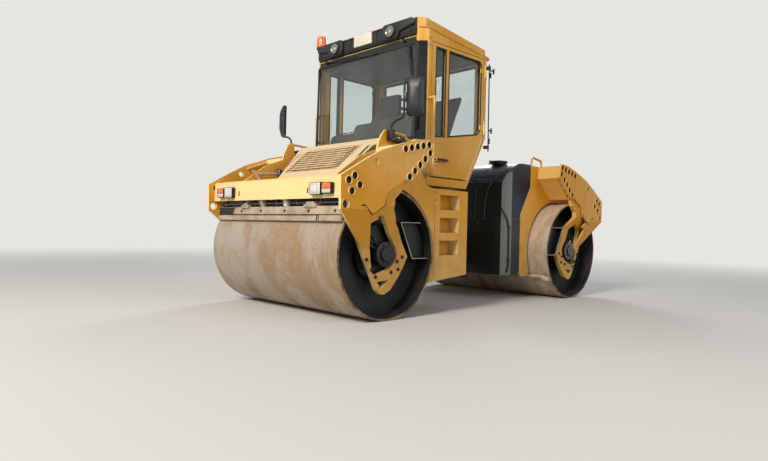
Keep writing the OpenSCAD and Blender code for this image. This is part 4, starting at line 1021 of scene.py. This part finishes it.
def steeringWheel():
    v = cabin
    bm = bmesh.new()
    r = v["wheelRadius"]
    rings = []
    for a in around(56):
        ring = []
        for b in around(12):
            # Finger grooves on the rim's underside
            out = r + 0.0135 * cos(b)
            groove = 0.0014 * cos(18 * a) if sin(b) < 0 else 0
            ring.append(bm.verts.new((out * cos(a), out * sin(a), 0.0155 * sin(b) + groove)))
        rings.append(ring)
    for a, b in zip(rings, rings[1:] + rings[:1]):
        bridge(bm, a, b)
    for a in (90, 210, 330):
        turn = Matrix.Rotation(radians(a), 4, "Z")
        addBox(bm, (0.03, -0.016, -0.012), (r + 0.002, 0.016, 0.001), 0, 0.005, turn)
    hub = [(0, -0.03), (0.04, -0.03), (0.048, -0.01), (0.044, 0.01), (0.03, 0.017), (0, 0.019)]
    column = [(0, -0.15), (0.024, -0.15), (0.03, -0.03), (0, -0.03)]
    # Turning knob on the rim
    knob = [(0, 0.005), (0.01, 0.005), (0.01, 0.022), (0.021, 0.026), (0.024, 0.045), (0.016, 0.058),
            (0, 0.061)]
    for profile, x, y, sides in ((hub, 0, 0, 32), (column, 0, 0, 24), (knob, r * 0.5, r * 0.866, 24)):
        addLathe(bm, profile, (x, y, 0), facingUp, 0, sides)
    return placed(bm, Matrix.Translation(v["wheel"]) @ Matrix.Rotation(radians(-v["tilt"]), 4, "X"))


made("wheel_rim", steeringWheel(), ["plastic"], "front", "black_plastic", ["steering_wheel"], angle=45)


def seatFrame():
    v = cabin
    bm = bmesh.new()
    x, y, z = v["seatX"], v["seatY"], v["floor"]
    addBox(bm, (x - 0.2, y - 0.195, z + 0.0003), (x + 0.2, y - 0.005, z + 0.06), 0, 0.006)
    # Rubber bellows round the suspension
    folds = [(0.155 + (0.018 if k % 2 else 0.0), 0.06 + 0.022 * k) for k in range(11)]
    addLathe(bm, [(0, 0.055)] + folds + [(0, 0.285)], (x, y - 0.1, z), facingUp, 1, 32)
    addBox(bm, (x - 0.205, y - 0.24, z + 0.28), (x + 0.205, y + 0.1, z + 0.3297), 0, 0.012)
    for s in (-1, 1):
        pad, strut = x + s * 0.29, x + s * 0.247
        addBox(bm, (pad - 0.028, y - 0.15, z + 0.47), (pad + 0.028, y + 0.18, z + 0.519), 0, 0.016)
        addPrism(bm, [(y - 0.055, z + 0.285), (y + 0.055, z + 0.285), (y + 0.075, z + 0.475),
                      (y - 0.035, z + 0.475)], "x", strut - 0.012, strut + 0.012, 0, 0.006)
        addBox(bm, (strut - 0.014, y - 0.02, z + 0.455), (pad + 0.014, y + 0.07, z + 0.48), 0, 0.005)
    addBox(bm, (x - 0.262, y - 0.055, z + 0.283), (x + 0.262, y + 0.055, z + 0.311), 0, 0.006)
    # Adjusting lever under the front edge
    lever = [(x + across, y + back, z + up) for across, back, up in
             ((-0.16, -0.24, 0.3), (-0.16, -0.275, 0.292), (0.16, -0.275, 0.292), (0.16, -0.24, 0.3))]
    addTube(bm, bend(lever, 0.02), 0.007, 2, 10)
    return bm


made("seat_frame", seatFrame(), ["plastic", "rubber", "chrome"], "front", "black_plastic", ["seat_base"])


# Seat pads: blown up by cloth simulation, then stitched channels are pressed in
pads = {"shrink": 0.014, "cap": 0.022, "voxel": 0.0075, "pressure": 4.0, "frames": 20, "stitch": 0.0085,
        "press": 0.01, "panel": 0.135}


def padMesh(key):
    x, y, z = cabin["seatX"], cabin["seatY"], cabin["floor"]
    bm = bmesh.new()
    s = pads["shrink"]
    if key == "cushion":
        addBox(bm, (x - 0.225 + s, y - 0.27 + s, z + 0.3303), (x + 0.225 - s, y + 0.14 - s, z + 0.44 - s), 0,
               0.03)
    else:
        side = [(y - 0.02 + s, z + 0.4405), (y + 0.065 - s, z + 0.4405), (y + 0.315 - s, z + 1.05 - s),
                (y + 0.235 + s, z + 1.07 - s)]
        addPrism(bm, side, "x", x - 0.215 + s, x + 0.215 - s, 0, 0.026)
    return toMesh("pad_" + key, bm)


def blowUp(obj, mesh):
    start = [p.co.copy() for p in mesh.vertices]
    cloth = obj.modifiers.new("cloth", "CLOTH")
    cloth.settings.use_pressure = True
    cloth.settings.uniform_pressure_force = pads["pressure"]
    cloth.settings.effector_weights.gravity = 0.0
    cloth.point_cache.frame_start, cloth.point_cache.frame_end = 1, pads["frames"]
    for step in range(1, pads["frames"] + 1):
        bpy.context.scene.frame_set(step)
    blown = evaluated(obj)
    for p, q, first in zip(mesh.vertices, blown.vertices, start):
        move = q.co - first
        if move.length > pads["cap"]:
            move *= pads["cap"] / move.length
        p.co = first + move
    bpy.context.scene.frame_set(1)


def stitch(key, mesh, low, high):
    # Sewn channels: across the cushion, and up the back beside a smooth middle
    panel = pads["panel"]
    for p in mesh.vertices:
        x = p.co[0] - cabin["seatX"]
        lines = [(panel, x), (-panel, x)]
        if key == "cushion":
            along, facing = p.co[1] - cabin["seatY"], p.co[2] > low[2] + 0.05
            across, press = (-0.17, -0.085, 0.0), (0, 0, -1)
        else:
            along, facing = p.co[2] - cabin["floor"], True
            front = p.co[1] < cabin["seatY"] + 0.02 + (along - 0.44) * 0.4
            across, press = (0.6, 0.72, 0.84, 0.96), (0, 0.93, -0.38) if front else (0, -0.5, 0)
        if abs(x) < panel:
            lines += [(a, along) for a in across]
        if facing:
            deep = max(exp(-((b - a) / pads["stitch"]) ** 2) for a, b in lines)
            p.co += Vector(press) * pads["press"] * deep
        for i in range(3):
            p.co[i] = min(max(p.co[i], low[i] + 0.0005), high[i] - 0.0005)


def simulatePad(key):
    obj = newObject("pad_" + key, padMesh(key))
    bpy.context.view_layer.objects.active = obj
    remesh = obj.modifiers.new("voxels", "REMESH")
    remesh.mode, remesh.voxel_size = "VOXEL", pads["voxel"]
    mesh = evaluated(obj)
    obj.data = mesh
    blowUp(obj, mesh)
    low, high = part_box("seat_" + key)
    stitch(key, mesh, low, high)
    bpy.data.objects.remove(obj)
    obj = settle("seat_" + key + "_pad", mesh, ["cloth"], "front", ["seat_" + key], angle=60)
    smooth = obj.modifiers.new("smooth", "SUBSURF")
    smooth.levels = smooth.render_levels = 1


for key in ("cushion", "back"):
    simulatePad(key)
print("cab inside done")


# Water tank: ribbed filler cap, mould beads, cover bolts and its hose
tank = {"front": 0.59, "top": 1.7, "turn": 0.3, "cap": (0.47, 0.85)}


def tankY(z):
    rise = min(1.0, max(0.0, (z - tank["top"] + tank["turn"]) / tank["turn"]))
    return tank["front"] + tank["turn"] * (1 - sqrt(1 - rise * rise))


def fillerCap():
    bm = bmesh.new()
    at = (tank["cap"][0], tank["cap"][1], tank["top"])
    addLathe(bm, [(0, 0.0003), (0.093, 0.0003), (0.095, 0.004), (0.095, 0.02), (0, 0.02)], at, facingUp, 0,
             48)
    addLathe(bm, [(0, 0.02), (0.108, 0.02), (0.112, 0.024), (0.112, 0.038), (0.106, 0.045), (0.085, 0.045),
                  (0.08, 0.04), (0, 0.04)], at, facingUp, 0, 192, 32, 0.008)
    addBox(bm, (at[0] - 0.08, at[1] - 0.01, at[2] + 0.034), (at[0] + 0.08, at[1] + 0.01, at[2] + 0.047), 0,
           0.005)
    # Hasp that keeps the cap shut
    for reach, low, high in ((-0.112, 0.0003, 0.03), (-0.06, 0.024, 0.048)):
        addBox(bm, (at[0] - 0.065, at[1] - 0.124, at[2] + low), (at[0] - 0.035, at[1] + reach, at[2] + high),
               1, 0.003)
    return bm


made("filler_cap", fillerCap(), ["plastic", "silver"], "rear", "black_plastic", ["tank_cap"])


def tankTrim():
    bm = bmesh.new()
    # Beads that follow the tank's curved front
    curve = [(0.735, 1.606), (0.64, 1.556), (0.56, 1.476), (0.51, 1.38), (0.478, 1.26), (0.464, 1.118),
             (0.46, 0.985)]
    upright = [(0.4, 1.64), (0.33, 1.56), (0.315, 1.4), (0.315, 0.985)]
    for line, reach, steps, radius in ((curve, 0.05, 3, 0.006), (upright, 0.09, 5, 0.005)):
        addTube(bm, bend([(x, tankY(z) - 0.001, z) for x, z in line], reach, steps), radius, 0, 10)
    addTube(bm, [(x, tankY(0.985) - 0.001, 0.985) for x in (-0.02, 0.7)], 0.005, 0, 10)
    # Drain plug in its ring
    addLathe(bm, [(0, 0), (0.03, 0), (0.034, 0.006), (0.026, 0.01), (0.022, 0.006), (0.014, 0.006),
                  (0.014, 0.014), (0, 0.014)], (0.39, tank["front"] + 0.001, 0.94), facingFront, 0, 28)
    copyAcross(bm)
    # Hose down the bevelled corner, in two clips
    hose = [(0.7, 0.6, 1.16), (0.716, 0.588, 1.12), (0.765, 0.62, 1.03), (0.786, 0.645, 0.9),
            (0.79, 0.648, 0.42), (0.77, 0.64, 0.345)]
    addTube(bm, bend(hose, 0.05, 6), 0.011, 1, 14)
    for z in (0.9, 0.5):
        addBox(bm, (0.772, 0.632, z - 0.01), (0.803, 0.662, z + 0.01), 1, 0.003)
    return bm


made("tank_trim", tankTrim(), ["tank", "rubber"], "rear", "tank_plastic")


# Scrapers: end rubber, a loose blade segment, the worn face, the open joint between holder and blade,
# cast lugs, and the spray pipe under the beam
scraper = {"pipeY": -2.196, "pipeZ": 1.071, "pipe": 0.011, "clips": (-0.95, -0.62, -0.3, 0.02, 0.36, 0.72,
                                                                     1.0),
           "nozzles": 8}


def scraperTrim():
    v = scraper
    bm = bmesh.new()
    rubber = [(-2.24, 0.956), (-2.2185, 1.033), (-2.2245, 1.0345), (-2.2475, 0.955)]
    loose = [(-2.252, 0.902), (-2.2405, 0.956), (-2.247, 0.958), (-2.259, 0.903)]
    worn = [(-2.241, 0.953), (-2.217, 1.034), (-2.221, 1.036), (-2.245, 0.954)]
    joint = [(-2.242, 0.9535), (-2.2395, 0.9615), (-2.2475, 0.9615), (-2.25, 0.9535)]
    for outline, x0, x1, mat, edge in ((rubber, -1.045, -0.745, 1, 0.002), (loose, 0.757, 1.046, 0, 0.002),
                                       (worn, -0.735, 1.046, 0, 0.001), (joint, -1.046, 1.046, 1, 0)):
        addPrism(bm, outline, "x", x0, x1, mat, edge)
    # Dark gaps at the ends of the loose segment
    for x in (0.719, 0.751):
        addPrism(bm, [(-2.252, 0.902), (-2.2405, 0.956), (-2.248, 0.958), (-2.26, 0.903)], "x", x, x + 0.009,
                 1)
    # Lugs cast with the holder, and one bare round spacer
    for x0, x1 in ((-0.592, -0.452), (0.505, 0.687)):
        addBox(bm, (x0, -2.242, 1.02), (x1, -2.186, 1.056), 0, 0.008)
        addBox(bm, (x0 + 0.03, -2.236, 1.05), (x1 - 0.03, -2.19, 1.078), 0, 0.01)
    addLathe(bm, [(0, 0), (0.022, 0), (0.024, 0.003), (0.024, 0.026), (0, 0.026)], (0.192, -2.214, 1.036),
             facingUp, 3, 24)
    y, z = v["pipeY"], v["pipeZ"]
    addTube(bm, [(-1.05, y, z), (1.05, y, z)], v["pipe"], 2, 16)
    for x in v["clips"]:
        addBox(bm, (x - 0.012, y - 0.017, z - 0.016), (x + 0.012, y + 0.017, 1.1025), 1, 0.003)
    for k in range(v["nozzles"]):
        addKnob(bm, 0.009, 0.016, 0.005, 0.022, (-0.9 + 0.26 * k, y + 0.004, z - 0.006), (0, 0.35, -0.94), 1,
                12)
    return bm


fittings = scraperTrim()
rearFittings = atRear(fittings)
# Capped ends of the inner scraper's tube, caked with dry mud
for x in (-1.0, 1.0):
    addLathe(rearFittings, [(0, -0.01), (0.03, -0.01), (0.033, 0.03), (0.031, 0.075), (0.022, 0.088),
                            (0, 0.092)],
             (x, 1.108, 0.272), (x, 0, -0.18), 0, 24)
for end, part in (("rear", rearFittings), ("front", fittings)):
    made(end + "_scraper_trim", part, ["scraper", "rubber", "blue", "white"], end, "scraper_steel")


# Drum motors: flanged end, port plugs and two short hoses each
motor = {"x": 1.0255, "portX": 0.985, "portRadius": 0.112, "ports": (127.0, 152.0)}


def motorTrim():
    v = motor
    bm = bmesh.new()
    at = (v["x"], -axleAway, axleHeight)
    flange = [(0.066, 0), (0.112, 0), (0.1145, 0.003), (0.1145, 0.008), (0.105, 0.011), (0.066, 0.011)]
    cap = [(0, 0.028), (0.064, 0.028), (0.066, 0.03), (0.062, 0.034), (0.04, 0.036), (0.036, 0.033),
           (0.015, 0.033), (0.013, 0.037), (0, 0.037)]
    for profile, sides in ((flange, 48), (cap, 40)):
        addLathe(bm, profile, at, facingOut, 0, sides)
    for angle in v["ports"]:
        a = radians(angle)
        out = Vector((0, cos(a), sin(a)))
        root = Vector((v["portX"], -axleAway, axleHeight)) + out * v["portRadius"]
        addLathe(bm, [(0, 0), (0.019, 0), (0.019, 0.012), (0.014, 0.014), (0.014, 0.03), (0, 0.03)], root,
                 out, 1, 6)
        path = [root + out * reach + Vector((x, 0, z)) for reach, x, z in
                ((0.028, 0, 0), (0.06, 0, 0), (0.075, -0.03, 0.004), (0.12, -0.036, 0.045),
                 (0.15, -0.058, 0.09))]
        addTube(bm, bend(path[:3], 0.02, 4), 0.0125, 1, 14)
        addTube(bm, bend(path[2:], 0.03, 4), 0.012, 2, 14)
    copyAcross(bm)
    return bm


motors = motorTrim()
made("rear_motor_trim", atRear(motors), ["grey", "silver", "rubber"], "rear", "black_paint")
# The front motor is drawn all in black paint, painted shade of the front yoke's dark inside; the rear one is
# grey and silver
made("front_motor_trim", motors, ["black", "black", "rubber"], "front", "black_paint")


# Yokes: dark beads round the plate's lower tip and along the V's bend, painted shadow of the gap there, and a
# weld bead by the box bracket
weldAndShadeBeads = {"tip": [(-1.804, 1.143), (-1.814, 1.057), (-1.963, 0.968), (-2.066, 1.055), (-2.2, 1.015)],
         "edge": [(-1.806, 1.11), (-1.814, 1.055), (-1.963, 0.966), (-2.066, 1.053)],
         "box": [(-1.255, 1.53), (-1.276, 1.686), (-1.445, 1.657), (-1.592, 1.622)]}


def yokeWeldAndShadeBeads(side):
    # Dark beads inside and outside the tip, painted shadow of the gap between plate and V, and the weld bead
    # between the box bracket and the side plate
    bm = bmesh.new()
    for key, x, radius, mat, reach in (("tip", 1.12, 0.008, 1, 0.02), ("edge", 1.147, 0.0055, 1, 0),
                                       ("box", 0.8015, 0.0045, 0, 0.02)):
        path = [(side * x, y, z) for y, z in weldAndShadeBeads[key]]
        addTube(bm, bend(path, reach, 4) if reach else path, radius, mat, 8)
    return bm


for end in ("front", "rear"):
    for name, side in (("left", 1), ("right", -1)):
        bm = yokeWeldAndShadeBeads(side)
        made(end + "_weld_and_shade_beads_" + name, atRear(bm) if end == "rear" else bm, ["yellow", "rubber"], end,
             "yellow_paint")


# Small steel: rail feet, step treads, seams and hinges on the step boxes, rivets on the cab posts
steps = {"z": (1.05, 0.82, 0.59), "y": (-0.945, -0.662), "x": (0.936, 1.045)}


def bodyTrim():
    bm = bmesh.new()
    for z in (2.19, 1.406):
        addLathe(bm, [(0, 0.0003), (0.026, 0.0003), (0.026, 0.004), (0.022, 0.006), (0.012, 0.006),
                      (0.012, 0.002)],
                 (0.8903, -0.99, z), facingOut, 0, 28)
    for z in steps["z"]:
        x0, x1 = steps["x"]
        y0, y1 = steps["y"]
        addBox(bm, (x0, y0, z + 0.0003), (x1, y1, z + 0.002), 0, 0.0)
    # Dark seam and two little hinges where the step box opens
    addBox(bm, (1.05, -1.032, 0.4), (1.0506, -1.0285, 1.236), 1)
    for z in (1.177, 1.107):
        addBox(bm, (1.05, -1.046, z - 0.014), (1.056, -1.016, z + 0.014), 0, 0.002)
        addTube(bm, [(1.056, -1.031, z - 0.016), (1.056, -1.031, z + 0.016)], 0.005, 0, 10)
    # Drain slot in the beam's face, drawn as a flat dark patch: painted shade
    addBox(bm, (0.588, -2.266, 1.15), (0.604, -2.2635, 1.199), 1, 0.0008)
    copyAcross(bm)
    # Water line over the deck: slanted bracket, pipe, and a round coupling with its hose
    addPrism(bm, [(-2.03, 1.447), (-1.995, 1.447), (-1.905, 1.33), (-1.905, 1.2625), (-1.945, 1.2625),
                  (-1.945, 1.345)], "x", -0.765, -0.715, 2, 0.004)
    addTube(bm, [(-0.74, -1.96, 1.412), (-0.74, -1.7, 1.434)], 0.015, 2, 16)
    addLathe(bm, [(0, -0.035), (0.034, -0.035), (0.04, -0.028), (0.04, 0.01), (0.034, 0.016), (0.03, 0.012),
                  (0, 0.012)], (-0.74, -1.687, 1.453), (0.45, -0.89, 0), 1, 32)
    addLathe(bm, [(0.018, 0.01), (0.02, 0.017), (0.026, 0.017), (0.028, 0.01)], (-0.74, -1.687, 1.453),
             (0.45, -0.89, 0), 3, 32)
    addTube(bm, bend([(-0.74, -1.665, 1.44), (-0.745, -1.63, 1.43), (-0.76, -1.61, 1.34),
                      (-0.76, -1.61, 1.265)], 0.04, 5), 0.013, 1, 14)
    return bm


made("body_trim", bodyTrim(), ["yellow", "rubber", "scraper", "edge"], "front", "yellow_paint")


# Pale edges of the tray-shaped guards in the drums' ends: thin pale tubes along them
guard = {"out": 1.036, "path": [(-1.225, 0.91), (-1.494, 0.91), (-1.328, 0.565), (-1.112, 0.565)]}


def guardEdges():
    bm = bmesh.new()
    for pair in zip(guard["path"], guard["path"][1:]):
        addTube(bm, [(guard["out"], y, z) for y, z in pair], 0.0035, 0, 8)
    copyAcross(bm)
    return bm


bothEnds("guard_edges", guardEdges(), ["edge"], "black_paint")


# Rolled rims in the rows of holes along each yoke plate, and dark discs inside the holes as painted shade
def row(a, b, n):
    return [tuple(p + (q - p) * i / (n - 1) for p, q in zip(a, b)) for i in range(n)]


yokeHoles = {"face": 1.15, "bore": 0.031,
             "cluster": [(0.568, 0.64), (0.502, 0.681), (0.443, 0.606), (0.531, 0.55)],
             "rows": row((-0.429, 1.048), (-0.109, 0.973), 5) + row((-0.446, 0.969), (-0.171, 0.721), 5)}


def holeRimsAndShadeDiscs():
    v = yokeHoles
    bm = bmesh.new()
    r = v["bore"]
    rim = [(r - 0.0005, -0.02), (r - 0.0005, 0.002), (r + 0.002, 0.0062), (r + 0.006, 0.0062),
           (r + 0.0105, 0.0003)]
    # The socket is a dark disc set inside each hole: painted shade
    socket = [(0, -0.024), (r - 0.0003, -0.024), (r - 0.0003, -0.003), (r - 0.002, -0.003),
              (r - 0.002, -0.02), (0, -0.02)]
    # The holes' places are given from the drum's axle
    for out, up in v["cluster"] + v["rows"]:
        at = (v["face"], -axleAway - out, axleHeight + up)
        addLathe(bm, rim, at, facingOut, 0, 28)
        addLathe(bm, socket, at, facingOut, 1, 24)
    copyAcross(bm)
    return bm


bothEnds("hole_rims", holeRimsAndShadeDiscs(), ["yellow", "rubber"], "yellow_paint")


def treadGroup():
    tree, given = newGroup("tread_studs", {"Length": "Float", "Depth": "Float", "Along": "Int",
                                           "Across": "Int", "Stud": "Float", "Finish": "Material"})
    grid = addNode(tree, "GeometryNodeMeshGrid", i0=given["Depth"], i1=given["Length"], i2=given["Across"],
                   i3=given["Along"]).outputs["Mesh"]
    stud = addNode(tree, "GeometryNodeMeshCylinder", Vertices=10, Radius=given["Stud"],
                   Depth=0.0024).outputs["Mesh"]
    spots = addNode(tree, "GeometryNodeInstanceOnPoints", Points=grid, Instance=stud).outputs[0]
    return closeGroup(tree, spots, given["Finish"])


bm = bmesh.new()
studs = grown("studs", bpy.data.meshes.new("seed"), treadGroup(), {
    "Length": 0.25, "Depth": 0.085, "Along": 13, "Across": 5, "Stud": 0.0055, "Finish": mats["bolt"]})
for z in steps["z"]:
    for side in (-1, 1):
        layer = studs.copy()
        layer.transform(Matrix.Translation((side * 0.992, -0.8035, z + 0.003)))
        bm.from_mesh(layer)
        bpy.data.meshes.remove(layer)
made("tread_studs", bm, ["bolt"], "front", "yellow_paint")


# Bolts, by the place and facing of each head
def mirrored(spots, x=True, y=False):
    out = list(spots)
    if x:
        out += [((-p[0], p[1], p[2]), (-f[0], f[1], f[2]), s) for p, f, s in out]
    if y:
        out = [((p[0], -p[1], p[2]), (f[0], -f[1], f[2]), s) for p, f, s in out]
    return out


def boltRing(x, radius, start, stop, step, size):
    angles = [radians(a) for a in range(start, stop, step)]
    return [((x, -axleAway + radius * cos(a), axleHeight + radius * sin(a)), facingOut, size) for a in angles]


hubBolts = boltRing(0.9303, 0.246, 10, 180, 20, 0.9) + boltRing(1.036, 0.091, 22, 382, 45, 0.7)
veePlaces = [(-1.451, 0.581), (-1.517, 0.54), (-1.504, 0.466), (-1.595, 0.442), (-1.792, 0.405),
             (-1.845, 0.47), (-1.905, 0.566)]
veeBolts = [((1.0193, y, z), facingOut, 1.0) for y, z in veePlaces]
blade = [((x, -2.2337, 0.992), (0, -0.963, 0.268), 0.85) for x in (-0.584, -0.213, 0.199, 0.582, 0.96)]
for name, y in (("front", False), ("rear", True)):
    # The front hub's bolts are drawn in black paint as painted shade; the rear ones in zinc
    bolts(name + "_yoke_bolts", mirrored(hubBolts, True, y), name, "bolt" if y else "black")
    bolts(name + "_arm_bolts", mirrored(veeBolts, True, y), name, "rubber")
    bolts(name + "_scraper_bolts", mirrored(blade, False, y), name, "rust")
cover = [((0.8063, 0.842, z), facingOut, 1.0) for z in (1.002, 0.665, 0.326)]
bolts("tank_bolts", mirrored(cover), "rear")
rivetPlaces = [(-0.999, 2.804), (-0.965, 2.731), (-0.972, 2.8), (-0.992, 2.735)]
rivets = [((0.8903, y, z), facingOut, 0.7) for y, z in rivetPlaces]
seatBolts = [((0.44 + x, y, 1.403), facingUp, 0.8) for x in (-0.17, 0.17) for y in (-0.56, -0.4)]
mirrorBolts = [((0.8623, -1.475 + y, 1.715), facingOut, 0.7) for y in (0.02, 0.19)]
bolts("cab_rivets", mirrored(rivets + mirrorBolts), "front", "bolt", 0.016, 0.004, 0.02)
bolts("seat_bolts", seatBolts, "front")
print("small steel done")


# Stage, light and camera
studio = {"floor": "#c6c4bf", "side": 90.0, "backdrop": "#e6e5e2", "fadeFrom": 5.0, "fadeTo": 16.0,
          "sky": 0.55,
          "lamps": {"key": ((3.2, -12.6, 8.8), (0, -0.6, 1.2), 5.0, 2100, "#fff8ee"),
                    "fill": ((11.0, 0.5, 5.0), (0, 0.4, 1.0), 5.0, 260, "#f2f4ff"),
                    "back": ((-7.0, 8.0, 7.0), (0, 0.5, 1.5), 4.0, 520, "#ffffff")}}


def seen(t):
    # 1 for rays that only look: straight, mirrored or through glass
    path = addNode(t, "LightPath").outputs
    looks = calc(t, "MAXIMUM", path["Is Camera Ray"], path["Is Glossy Ray"])
    return calc(t, "MAXIMUM", looks, path["Is Transmission Ray"])


def stage():
    v = studio
    mat, t = blank("pale_floor")
    where = objectPlace(t)
    colour = mix(t, times(t, noise(t, where, 30.0, 4), 0.08), v["floor"], "#c9c6c0")
    lit = addNode(t, "BsdfPrincipled", Base_Color=colour, Roughness=0.8).outputs[0]
    flat = addNode(t, "Emission", Color=v["backdrop"], Strength=1.0).outputs[0]
    far = addNode(t, "VectorMath", {"operation": "LENGTH"}, i0=where).outputs["Value"]
    share = times(t, ramp(t, far, v["fadeFrom"], v["fadeTo"]), seen(t))
    finish(t, addNode(t, "MixShader", i0=share, i1=lit, i2=flat).outputs[0])
    side = v["side"]
    mesh = bpy.data.meshes.new("floor")
    mesh.from_pydata([(-side, -side, 0), (side, -side, 0), (side, side, 0), (-side, side, 0)], [],
                     [(0, 1, 2, 3)])
    mesh.materials.append(mat)
    floor = newObject("floor", mesh)
    world = bpy.data.worlds.new("studio")
    world.use_nodes = True
    bpy.context.scene.world = world
    t = world.node_tree
    t.nodes.clear()
    high = parts(t, addNode(t, "TexCoord").outputs["Generated"])[2]
    sky = mix(t, ramp(t, high, -0.05, 0.7), "#e4e2de", "#b4bdc8")
    soft = addNode(t, "Background", Color=sky, Strength=v["sky"]).outputs[0]
    flat = addNode(t, "Background", Color=v["backdrop"], Strength=1.0).outputs[0]
    both = addNode(t, "MixShader", i0=seen(t), i1=soft, i2=flat).outputs[0]
    t.links.new(both, addNode(t, "OutputWorld").inputs[0])


def lamp(name, place, target, size, power, colour):
    data = bpy.data.lights.new(name, "AREA")
    data.shape, data.size, data.energy, data.color = "DISK", size, power, srgb(colour)[:3]
    obj = newObject(name, data)
    obj.location = place
    obj.rotation_euler = (Vector(target) - Vector(place)).to_track_quat("-Z", "Y").to_euler()


# The photo's camera: where it stands, its turns in radians, and its focal length in pixels
view = {"at": (4.9387, -5.4857, 0.8541), "yaw": -0.8025, "pitch": -0.0045, "roll": 0.0251, "focal": 592.455,
        "width": 768}


def camera():
    yaw, pitch, roll = view["yaw"], view["pitch"], view["roll"]
    ahead = Vector((sin(yaw) * cos(pitch), cos(yaw) * cos(pitch), sin(pitch)))
    right = Vector((cos(yaw), -sin(yaw), 0))
    up = right.cross(ahead)
    x = right * cos(roll) + up * sin(roll)
    y = up * cos(roll) - right * sin(roll)
    data = bpy.data.cameras.new("camera")
    data.sensor_width, data.lens, data.clip_end = 36.0, 36.0 * view["focal"] / view["width"], 300.0
    obj = newObject("camera", data)
    obj.matrix_world = Matrix([(x[i], y[i], -ahead[i], view["at"][i]) for i in range(3)] + [(0, 0, 0, 1)])
    bpy.context.scene.camera = obj


stage()
for name, values in studio["lamps"].items():
    lamp(name, *values)
camera()
bpy.context.scene.view_settings.view_transform = "Standard"
